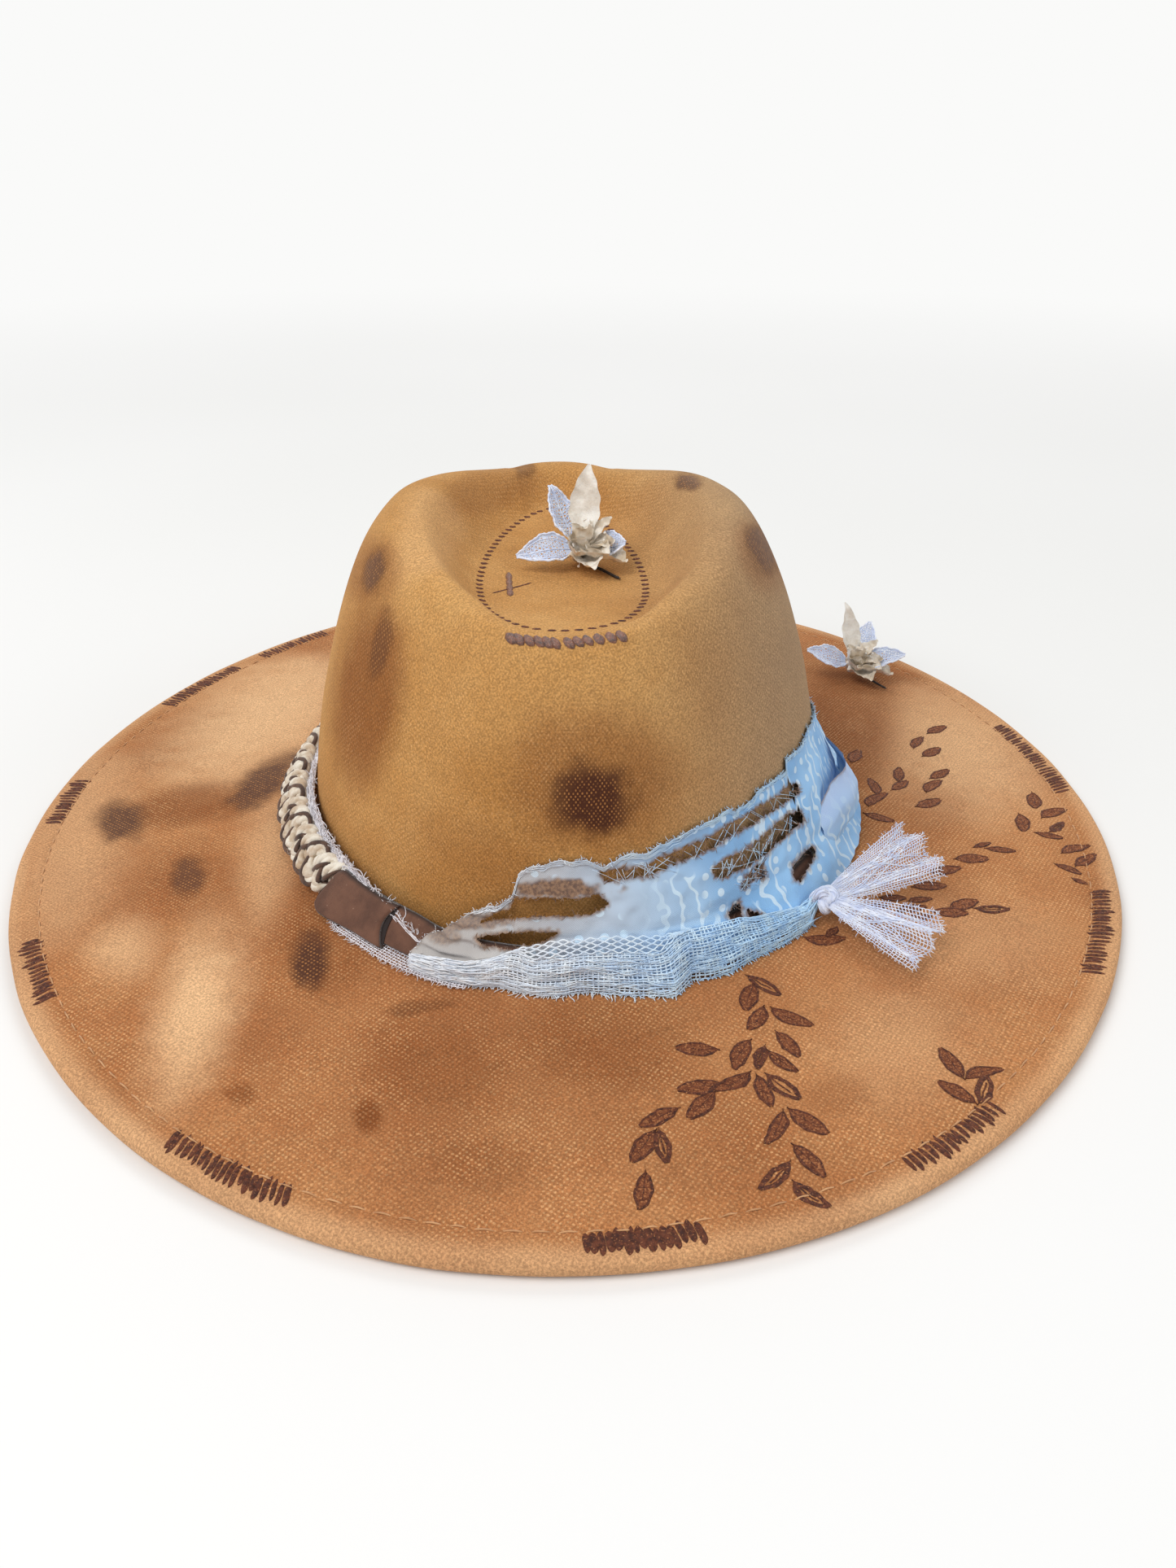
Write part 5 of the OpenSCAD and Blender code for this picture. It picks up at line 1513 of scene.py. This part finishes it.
loop_gap = loop_gap - 3.6 * smooth(0.6, 1, LV) * (1 - arch)
loop_gap = mix(cloth_lift(LT, LZ) - 0.5, loop_gap, smooth(0, 0.35, LV))
loop_points = on_band(LT, LZ, loop_gap)
rim_distance = (1 - LV) * (LOOP_RIM - LOOP_LOW)
loop_singe = 0.6 * smooth(1.6, 0.2, rim_distance + 0.8 * noise(loop_points, 2, 34))
loop_uv = points(along + 7, LZ * 1.1 + 20)
loop_obj = build(
    "cloth_loop",
    loop_points,
    grid(LOOP_ROWS, LOOP_COLS),
    BANDANA,
    "band",
    "bandana_loop",
    "bandana",
    loop_uv,
    {"singe": loop_singe, "plain": smooth(0.2, 0.95, LV)},
)

# Gathered gauze and net along the foot of the cloth


def on_lace(along, across, lift):
    """Point of the gathered gauze; across runs from its upper edge down to the brim."""
    along, across = np.broadcast_arrays(np.asarray(along, float), np.asarray(across, float))
    turn = turn_at(lace_from + along)
    share = np.clip(across / LACE_PROFILE, 0, 1)
    top, top_out, foot = lace_edges(turn)
    swell = np.sin(np.pi * share) ** 0.7
    crumple = 0.8 * noise(points(along / 3, across, 0), 3.2, 35)
    crumple = crumple + 0.5 * noise(points(along, across, 40), 2.2, 36)
    bulge = swell * (1.6 + crumple) + lift
    ripple = 0.5 * noise(points(along, 0, 80), 5, 37) * share**3
    x, y = oval(turn, mix(top_out, foot, share) + 0.6 * bulge + ripple)
    return points(x, y, mix(top, brim_top(foot) + 0.6, share) + 0.7 * bulge)


def net_depth(along):
    """How far down from the upper edge the open net reaches before the close gauze starts."""
    turn = turn_at(lace_from + along)
    deep = NET_DEPTH * smooth(NET_START - NET_COMES, NET_START, turn)
    return deep * smooth(NET_END + NET_GOES, NET_END, turn)


def on_close_gauze(along, across, lift):
    depth = net_depth(along)
    return on_lace(along, depth + across * (1 - depth / LACE_PROFILE), lift)


lace, lace_more = Heap(), Heap()
cloth_threads(lace, on_close_gauze, lace_length, LACE_PROFILE, LACE_PITCH, LACE_RADIUS, 0.45)
net_along = np.arange(length_at(NET_START - NET_COMES), length_at(NET_END + NET_GOES), 0.3) - lace_from
for k in range(NET_ROWS):
    wave = 0.42 * (-1) ** k * np.cos(2 * np.pi * net_along / NET_WAVE)
    across = (0.1 + k / NET_ROWS) * net_depth(net_along) + wave
    across = across + 0.25 * noise(points(net_along, 3.0 * k, 0), 6, 38)
    lace_more.tube(on_lace(net_along, np.maximum(0, across), 0.5), NET_RADIUS, 4)
# Fringe on the brim
for at in np.arange(1, lace_length, 0.45):
    turn = float(turn_at(lace_from + at))
    longer = 1.0 + 1.4 * smooth(250, 258, turn) * smooth(288, 282, turn) * (rng.random() < 0.4)
    way = outward(turn, rng.normal(0, 0.8), -0.05)
    path = loose_end(on_lace(at, LACE_PROFILE, 0), way, rng.uniform(0.5, 1.5) * longer, 0.15)
    floor_height = brim_top(turn_and_out(path[:, 0], path[:, 1])[1]) + 0.4
    path[:, 2] = np.maximum(path[:, 2] - 0.4 * np.linspace(0, 1, len(path)), floor_height)
    lace_more.thin(path, 0.15)
# Threads laid over the gauze
for _ in range(LAID_LACE):
    along = rng.uniform(0, lace_length - 8) + np.linspace(0, rng.uniform(5, 14), 18)
    depth = net_depth(along)
    across = depth + rng.uniform(0, 1) * (LACE_PROFILE - depth)
    across = np.clip(across + strayed(along, 1.0, 4, 39), 0, LACE_PROFILE)
    lace_more.thin(on_lace(along, across, rng.uniform(0.2, 0.8)), 0.16)
# Bunched threads at the left end
for _ in range(BUNCHED_LACE):
    along = rng.uniform(0, 16) + np.linspace(0, rng.uniform(2, 7), 10)
    across = np.clip(rng.uniform(0, LACE_PROFILE) + strayed(along, 1.5, 3, 40), 0, LACE_PROFILE)
    lace_more.thin(on_lace(along, across, rng.uniform(0.2, 1.6)), 0.2, 4)
# Drawn together where it goes into the knot
drawn = np.linspace(0, 1, 14)[:, None]
for across in np.linspace(0, LACE_PROFILE, DRAWN_LACE):
    start = on_lace(lace_length - 1.5, across, 0.2)
    goal = KNOT + np.array([-2.6, 0.6, 0]) + rng.normal(0, 0.9, 3)
    lace_more.tube(mix(start, goal, drawn) + np.sin(np.pi * drawn) * rng.normal(0, 0.35, 3), 0.22, 4)
lace_obj = lace.piece("gathered_gauze", LACE_THREAD, "band", node="lace_wrap", slot="lace")
lace_more_obj = lace_more.piece("gauze_net_and_fringe", LACE_THREAD, "band", slot="lace")

# Knot and tails


def turned(p, turn, tilt, roll, place):
    """Points rolled, tilted and turned about a place, as the CAD turns its tails and petals."""
    c, s = cos_sin(roll)
    x, y, z = p[..., 0], p[..., 1] * c - p[..., 2] * s, p[..., 1] * s + p[..., 2] * c
    c, s = cos_sin(tilt)
    x, z = x * c - z * s, x * s + z * c
    c, s = cos_sin(turn)
    return place + points(c * x - s * y, s * x + c * y, z)


BALL_ROWS, BALL_COLS = 41, 81
lat = np.radians(np.linspace(-90, 90, BALL_ROWS))[:, None]
lon = np.radians(np.linspace(0, 360, BALL_COLS))[None, :]
ball = points(np.cos(lat) * np.cos(lon), np.cos(lat) * np.sin(lon), np.sin(lat))
ball_faces = grid(BALL_ROWS, BALL_COLS)

UP = np.array([0, 0, 1.0])
# The strip crosses over and under itself in the knot: the way the knot faces, its size, the strip's radius
KNOT_FACE, KNOT_SIZE, KNOT_DEPTH, KNOT_STRIP = unit(np.array([0.3, -0.8, 0.5])), 1.05, 1.35, 1.4
KNOT_CORE, KNOT_POINTS, KNOT_THREADS, KNOT_THREAD = KNOT_RADIUS - 2.2, 151, 13, 0.19
knot = Heap()
knot.add(KNOT + ball * (KNOT_CORE + 0.4 * noise(ball * 6, 3, 41))[..., None], ball_faces)
a = np.linspace(0, 2 * np.pi, KNOT_POINTS)[:, None]
knot_right = unit(np.cross(KNOT_FACE, UP))
knot_up = np.cross(knot_right, KNOT_FACE)
path = (np.sin(a) + 2 * np.sin(2 * a)) * knot_right + (np.cos(a) - 2 * np.cos(2 * a)) * knot_up
path = KNOT + KNOT_SIZE * path - KNOT_DEPTH * np.sin(3 * a) * KNOT_FACE
strip = KNOT_STRIP * (1 + 0.22 * noise(path, 2.5, 42))
ahead = unit(np.gradient(path, axis=0))
side = unit(np.cross(ahead, KNOT_FACE))
rise = np.cross(side, ahead)
knot.tube(path, strip - 0.12, 10, np.broadcast_to(KNOT_FACE, path.shape))
for turn in np.arange(KNOT_THREADS) * 2 * np.pi / KNOT_THREADS:
    wander = turn + a + 0.5 * noise(points(path[:, 0], path[:, 2], 9 * turn), 3, 43)[:, None]
    knot.tube(path + strip[:, None] * (np.cos(wander) * side + np.sin(wander) * rise), KNOT_THREAD, 4)
knot.piece("knot_threads", TAIL_THREAD, "band", node="lace_knot", slot="lace")

TAIL_START, TAIL_SHARE = 2.6, 0.62
# Threads along a tail, points along those and along the ones across, and how far they weave
TAIL_THREADS, LONG_POINTS, CROSS_POINTS, TAIL_WEAVE = 27, 40, 30, 0.12
# Counts of frays at the end, frays at the sides and threads that lie across
END_FRAYS, SIDE_FRAYS, STRAY_THREADS = 90, 70, 16


def tail(name, node, body, way, length, lean):
    """A pleated fan of threads with a frayed end; way is its turn, tilt and roll at the knot."""
    threads, extra = Heap(), Heap()

    def place(t, across, lift):
        t, across = np.broadcast_arrays(np.asarray(t, float), np.asarray(across, float))
        width = TAIL_WIDTH * mix(TAIL_ROOT, 1, t**0.8)
        tips = 0.04 * np.abs(2 * across - 1) ** 2 + 0.045 * (1 + np.sin(2 * np.pi * (2.6 * across + lean)))
        pleat = 1.7 * t * np.sin(2 * np.pi * (TAIL_PLEATS * across + 0.15 * lean))
        pleat = pleat + 0.5 * t * noise(points(t * 30, across * 20, lean), 6, 47)
        reach = mix(TAIL_START, TAIL_REACH + length * (1 - tips), t)
        return turned(points(reach, width * (across - 0.5), pleat + lift), *way, KNOT)

    t = np.linspace(0, 1, LONG_POINTS)
    for k, across in enumerate(np.linspace(0, 1, TAIL_THREADS)):
        wander = across + 0.012 * noise(points(t * 30, k, 0), 5, 48)
        threads.tube(place(t, wander, TAIL_WEAVE * (-1) ** (np.arange(LONG_POINTS) + k)), 0.16, 4)
    u = np.linspace(0, 1, CROSS_POINTS)
    for k, at in enumerate(np.arange(0.03, 1.0, 1.0 / length)):
        wander = at + 0.008 * noise(points(u * 20, k, 9), 4, 49)
        threads.tube(place(wander, u, -TAIL_WEAVE * (-1) ** (np.arange(CROSS_POINTS) + k)), 0.15, 4)
    for across in rng.uniform(0, 1, END_FRAYS):
        start, before = place(1.0, across, 0), place(0.93, across, 0)
        stray = unit(unit(start - before) + rng.normal(0, 0.3, 3))
        extra.fray(start, stray, rng.uniform(0.4, 1.7), 0.25, 0.13)
    for at, across in zip(rng.uniform(0.15, 0.98, SIDE_FRAYS), rng.integers(0, 2, SIDE_FRAYS)):
        start = place(at, float(across), 0)
        stray = unit(start - place(at, 0.5, 0) + rng.normal(0, 1.6, 3))
        extra.fray(start, stray, rng.uniform(0.4, 1.4), 0.25, 0.12, 6)
    for first, last in zip(rng.uniform(0, 1, STRAY_THREADS), rng.uniform(0, 1, STRAY_THREADS)):
        extra.thin(place(t, mix(first, last, t), 0.35), 0.2, 4)
    obj = threads.piece(name, TAIL_THREAD, body, node=node, slot="lace")
    frays = extra.piece(name + "_frays", TAIL_THREAD, body, slot="lace")


upper_way, lower_way = (UPPER_TURN, UPPER_TILT, UPPER_ROLL), (LOWER_TURN, LOWER_TILT, LOWER_ROLL)
tail("upper_tail_gauze", "lace_tail_upper", "upper_tail", upper_way, UPPER_LENGTH, 0.1)
tail("lower_tail_gauze", "lace_tail_lower", "lower_tail", lower_way, LOWER_LENGTH, 0.6)

# Flowers

PETAL_ROOT, LACE_LENGTH, LACE_WIDTH, CREAM_LENGTH, CREAM_WIDTH = 4.8, 19.0, 11.0, 22.5, 10.0
CENTRE_RADIUS, STEM_LENGTH, STEM_RADIUS, STEM_DROP, COIL_TURNS, COIL_RADIUS = 4.5, 15.0, 0.4, 3.9, 22, 0.1
PETAL_SHARE, STAMENS, BUD_RADIUS, BRIM_FLOWER_HEIGHT = 0.68, 14, 0.45, 10.69
BRIM_FLOWER = np.array([*oval(BRIM_FLOWER_TURN, BRIM_FLOWER_OUT), BRIM_FLOWER_HEIGHT])
# Place; turn, tilt, roll, share of full length and curl of each lace petal; the way of the cream one; stem
FLOWERS = {
    "crown": (
        CROWN_FLOWER,
        ((205, 12, -35, 0.88, -5.5), (128, 42, 0, 1.0, 2.0), (-25, 10, 35, 0.62, 2.0)),
        (75, 62, 0),
        (-55, 1.5),
    ),
    "brim": (
        BRIM_FLOWER,
        ((330, 18, 30, 1.0, 2.0), (185, 15, -30, 1.0, 2.0), (60, 25, 0, 1.0, 2.0)),
        (120, 66, 0),
        (BRIM_FLOWER_TURN - 90, 0.0),
    ),
}
# Crumpled pieces round the heart: turn, tilt, roll, length and width
HEART_PETALS = (
    (10, 38, 20, 12, 7), (-60, 6, 15, 15, 10), (-35, 15, 25, 12, 8), (-100, 8, -15, 13, 9),
    (-120, 30, -20, 9, 8), (160, 60, 0, 7, 6), (60, 50, 0, 8, 7), (-80, 45, 0, 9, 7),
    (-78, -5, 8, 16, 12), (-46, -3, -10, 17, 12),
)
# Steps between the holes of the lace along and across, and their radius
HOLE_STEP, HOLE_SPACE, HOLE_RADIUS = 1.05, 1.15, 0.3
CORD_RADIUS, INNER_CORD, VEIN_RADIUS, RING_RADIUS, SPINE_RADIUS = 0.33, 0.2, 0.17, 0.15, 0.24


def petal_local(t, a, length, width, wrinkle, seed, curl=2.0, cup=1.8):
    """Points of a petal along X, at shares t of its length and a of its half width."""
    outline = np.sin(np.pi * mix(0.08, 0.97, t**0.8))
    scallop = 1 + 0.05 * np.sin(t * 26) * np.abs(a) ** 3
    rise = cup * outline * a * a + curl * t * t
    p = points(PETAL_ROOT - 0.8 + length * t, width / 2 * outline * scallop * a, rise)
    return p + points(0, 0, wrinkle * noise(p + 31 * seed, 4, 50) * t)


def petal_net(rows, cols):
    return np.meshgrid(np.linspace(0, 1, rows), np.linspace(-1, 1, cols), indexing="ij")


def lace_petal(film, cords, turn, tilt, roll, share, curl, seed, place):
    """A petal of fine net with a cord round it, a spine and veins."""
    length, rows, cols = LACE_LENGTH * share, 72, 44

    def at(t, a):
        return turned(petal_local(t, a, length, LACE_WIDTH, 1.0, seed, curl), turn, tilt, roll, place)

    t, a = petal_net(rows, cols)
    faces = grid(rows, cols)
    middle = petal_local(t, a, length, LACE_WIDTH, 0.0, 0).reshape(-1, 3)[faces].mean(1)
    row = np.round(middle[:, 0] / HOLE_STEP)
    hole_y = (middle[:, 1] / HOLE_SPACE + 0.5 * (row % 2) + 50) % 1 - 0.5
    hole = np.hypot(middle[:, 0] - row * HOLE_STEP, hole_y * HOLE_SPACE) < HOLE_RADIUS
    inside = (np.abs(a.reshape(-1)[faces].mean(1)) < 0.8) & (t.reshape(-1)[faces].mean(1) > 0.12)
    vein = np.abs(middle[:, 1]) < 0.45
    film.add(at(t, a), faces[~(hole & inside & ~vein)])
    lift = np.array([0, 0, 0.1])
    along, u, turns = np.linspace(0, 1, 60), np.linspace(0, 1, 10), np.linspace(0, 2 * np.pi, 14)
    for side in (-1, 1):
        cords.tube(at(along, np.full(60, 0.98 * side)), CORD_RADIUS + 0.1 * np.sin(along * 70), 5)
        cords.tube(at(along[4:], np.full(56, 0.72 * side)) + lift, INNER_CORD, 4)
        for first in np.arange(0.15, 0.92, 0.085):
            cords.tube(at(first + 0.09 * u, 0.7 * side * u) + lift, VEIN_RADIUS, 3)
            ring_t, ring_a = first + 0.05 + 0.03 * np.cos(turns), side * (0.42 + 0.2 * np.sin(turns))
            cords.tube(at(ring_t, ring_a) + lift, RING_RADIUS, 3)
    cords.tube(at(along, np.zeros(60)) + lift, SPINE_RADIUS, 4)


def flower(name, place, lace_ways, cream_way, stem_way):
    node, heart_name = name + "_flower", name + "_flower_heart"
    film, cords = Heap(), Heap()
    for k, way in enumerate(lace_ways):
        lace_petal(film, cords, *way, k, place)
    film_obj = film.piece(name + "_lace_petals", LACE_PETAL, "hat", node=node + "_petals", slot="petal_lace")
    cord_obj = cords.piece(name + "_petal_cords", TAIL_THREAD, "hat", slot="petal_lace")

    cream = turned(petal_local(*petal_net(60, 30), CREAM_LENGTH, CREAM_WIDTH, 1.3, 7), *cream_way, place)
    cream_name, cream_node = name + "_cream_petal", node + "_cream_petal"
    cream_obj = build(cream_name, cream, grid(60, 30), CREAM_PETAL, "hat", cream_node, "petal_cream")

    heart = Heap()
    folds = 0.5 * np.sin(5 * lon + 4 * lat) + 0.6 * noise(ball * 5 + place, 1.6, 51)
    heart.add(place + ball * (CENTRE_RADIUS - 0.9 + 0.7 * folds)[..., None], ball_faces)
    for k, (turn, tilt, roll, length, width) in enumerate(HEART_PETALS):
        p = petal_local(*petal_net(26, 16), length, width, 0, k, 2.0, 3.0) - np.array([2.2, 0, 0])
        p = p + points(0, 0, 1.2 * noise(p + 17 * k, 2.8, 52) + 0.6 * noise(p + 5 * k, 1.3, 53))
        heart.add(turned(p, turn, tilt, roll, place), grid(26, 16))
    heart.piece(heart_name, CENTRE, "hat", node=node + "_centre", slot="flower_centre")

    stamens = Heap()
    for _ in range(STAMENS):
        way = unit(np.array([1.0, -0.25, 0.55]) + rng.normal(0, 0.45, 3))
        path = loose_end(place + way * (CENTRE_RADIUS - 0.4), way, rng.uniform(3.5, 6.5), 0.2)
        stamens.tube(path, 0.14, 4)
        bud = path[-1] + ball[::4, ::8] * BUD_RADIUS
        stamens.add(bud, grid(*bud.shape[:2]))
    stamens.piece(name + "_stamens", CREAM_PETAL, "hat", slot="flower_centre")

    stem = Heap()
    stem_turn, stem_tilt = stem_way
    u = np.linspace(0, 1, 24)
    local = points(PETAL_ROOT - 2 + (STEM_LENGTH + 2) * u, 0.5 * np.sin(5 * u), -STEM_DROP)
    rise = points(0, 0, math.tan(math.radians(stem_tilt)) * (STEM_LENGTH + 2) * u)
    path = turned(local, stem_turn, 0, 0, place) + rise
    stem.tube(path, np.concatenate([np.full(22, STEM_RADIUS), [0.36, 0.15]]), 8)
    winding = np.linspace(0, 1, 400)
    coil = (2 * np.pi * COIL_TURNS * winding)[:, None]
    core = points(*[np.interp(winding, u, path[:, k]) for k in range(3)])
    cos, sin = cos_sin(stem_turn)
    across = np.array([-sin, cos, 0])
    stem.tube(core + STEM_RADIUS * (np.cos(coil) * across + np.sin(coil) * UP), COIL_RADIUS, 4)
    stem.piece(name + "_stem", STEM, "hat", node=node + "_stem", slot="stem_wire")


for name, facts in FLOWERS.items():
    flower(name, *facts)


# What stays in the CAD form, inside the hat

for node, material, slot in (
    ("sweatband", leather("sweatband_leather"), "sweatband"),
    ("brim_wire", steel("wire_steel", 150), "wire"),
    ("wire_joiner", steel("sleeve_steel", 185), "wire"),
):
    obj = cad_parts[node]
    obj.data.materials.clear()
    obj.data.materials.append(material)

# Floor, light and camera

# Sizes of the stage in metres, and its light
FLOOR_EDGE, FLOOR_LEVEL, PAPER_NEAR, PAPER_FAR = 14.0, -0.0002, 0.4, 1.5
PAPER_WHITE, PAPER_DARK, PAPER_LIGHT = (250, 250, 249), (232, 232, 230), (238, 238, 237)
LIGHT_AIM, WORLD_LIGHT, SENSOR_WIDTH, CLIP_START = (0, 0, 0.05), 0.42, 36, 0.01


def shown_rays(tree):
    """1 for what the camera sees straight, in gloss or through a clear piece, and 0 for light on the hat."""
    rays = tree.nodes.new("ShaderNodeLightPath")
    shown = rays.outputs["Is Camera Ray"]
    for kind in ("Is Glossy Ray", "Is Transmission Ray"):
        most = tree.nodes.new("ShaderNodeMath")
        most.operation = "MAXIMUM"
        tree.links.new(shown, most.inputs[0])
        tree.links.new(rays.outputs[kind], most.inputs[1])
        shown = most.outputs[0]
    return shown


def stage_surface():
    """A wide pale floor that runs out to white far round the object, as paper does in a bright studio."""
    x = y = np.array([-FLOOR_EDGE, FLOOR_EDGE])
    verts = points(x[None, :], y[:, None], FLOOR_LEVEL)
    mesh = bpy.data.meshes.new("floor")
    mesh.from_pydata(verts.reshape(-1, 3).tolist(), [], grid(2, 2).tolist())
    s = Shader("floor_paper", 0.95)
    s.set("Base Color", s.shades(PAPER_DARK, PAPER_LIGHT, 900, 2.0))
    white = s.node("ShaderNodeEmission", {"Color": rgb(*PAPER_WHITE)})
    reach = s.node("ShaderNodeVectorMath", {0: s.place}, operation="LENGTH").outputs["Value"]
    share = s.times(shown_rays(s.tree), s.span(reach, PAPER_NEAR, PAPER_FAR))
    mixed = s.node("ShaderNodeMixShader", {0: share, 1: s.surface.outputs[0], 2: white.outputs[0]})
    s.put(s.tree.nodes["Material Output"].inputs["Surface"], mixed.outputs[0])
    mesh.materials.append(s.material)
    obj = bpy.data.objects.new("floor", mesh)
    bpy.context.scene.collection.objects.link(obj)


def area_light(name, place, size, power):
    lamp = bpy.data.lights.new(name, "AREA")
    lamp.shape, lamp.size, lamp.size_y = "RECTANGLE", size[0], size[1]
    lamp.energy = power
    obj = bpy.data.objects.new(name, lamp)
    obj.location = place
    obj.rotation_euler = (Vector(LIGHT_AIM) - Vector(place)).to_track_quat("-Z", "Y").to_euler()
    bpy.context.scene.collection.objects.link(obj)


stage_surface()
area_light("key", (-1.1, -0.7, 1.7), (1.4, 1.4), 30)
area_light("fill", (1.5, -0.6, 1.1), (1.4, 1.0), 9)
area_light("back", (0.2, 1.5, 1.6), (1.6, 0.8), 10)

world = bpy.data.worlds.new("studio")
world.use_nodes = True
nodes, links = world.node_tree.nodes, world.node_tree.links
light = nodes["Background"]
light.inputs["Color"].default_value = (1, 1, 1, 1)
light.inputs["Strength"].default_value = WORLD_LIGHT
behind = nodes.new("ShaderNodeBackground")
behind.inputs["Color"].default_value = rgb(*PAPER_WHITE)
choice = nodes.new("ShaderNodeMixShader")
links.new(shown_rays(world.node_tree), choice.inputs[0])
links.new(light.outputs[0], choice.inputs[1])
links.new(behind.outputs[0], choice.inputs[2])
links.new(choice.outputs[0], nodes["World Output"].inputs["Surface"])
scene = bpy.context.scene
scene.world = world
scene.view_settings.view_transform = "Standard"

camera = bpy.data.cameras.new("photo_camera")
camera.sensor_fit = "HORIZONTAL"
camera.sensor_width = SENSOR_WIDTH
camera.lens = SENSOR_WIDTH * PHOTO_FOCAL / PHOTO_WIDTH
camera.clip_start = CLIP_START
obj = bpy.data.objects.new("photo_camera", camera)
obj.location = CAMERA_PLACE * MM
obj.rotation_euler = (math.radians(90 - CAMERA_DOWN), 0, -math.radians(CAMERA_TURN))
scene.collection.objects.link(obj)
scene.camera = obj
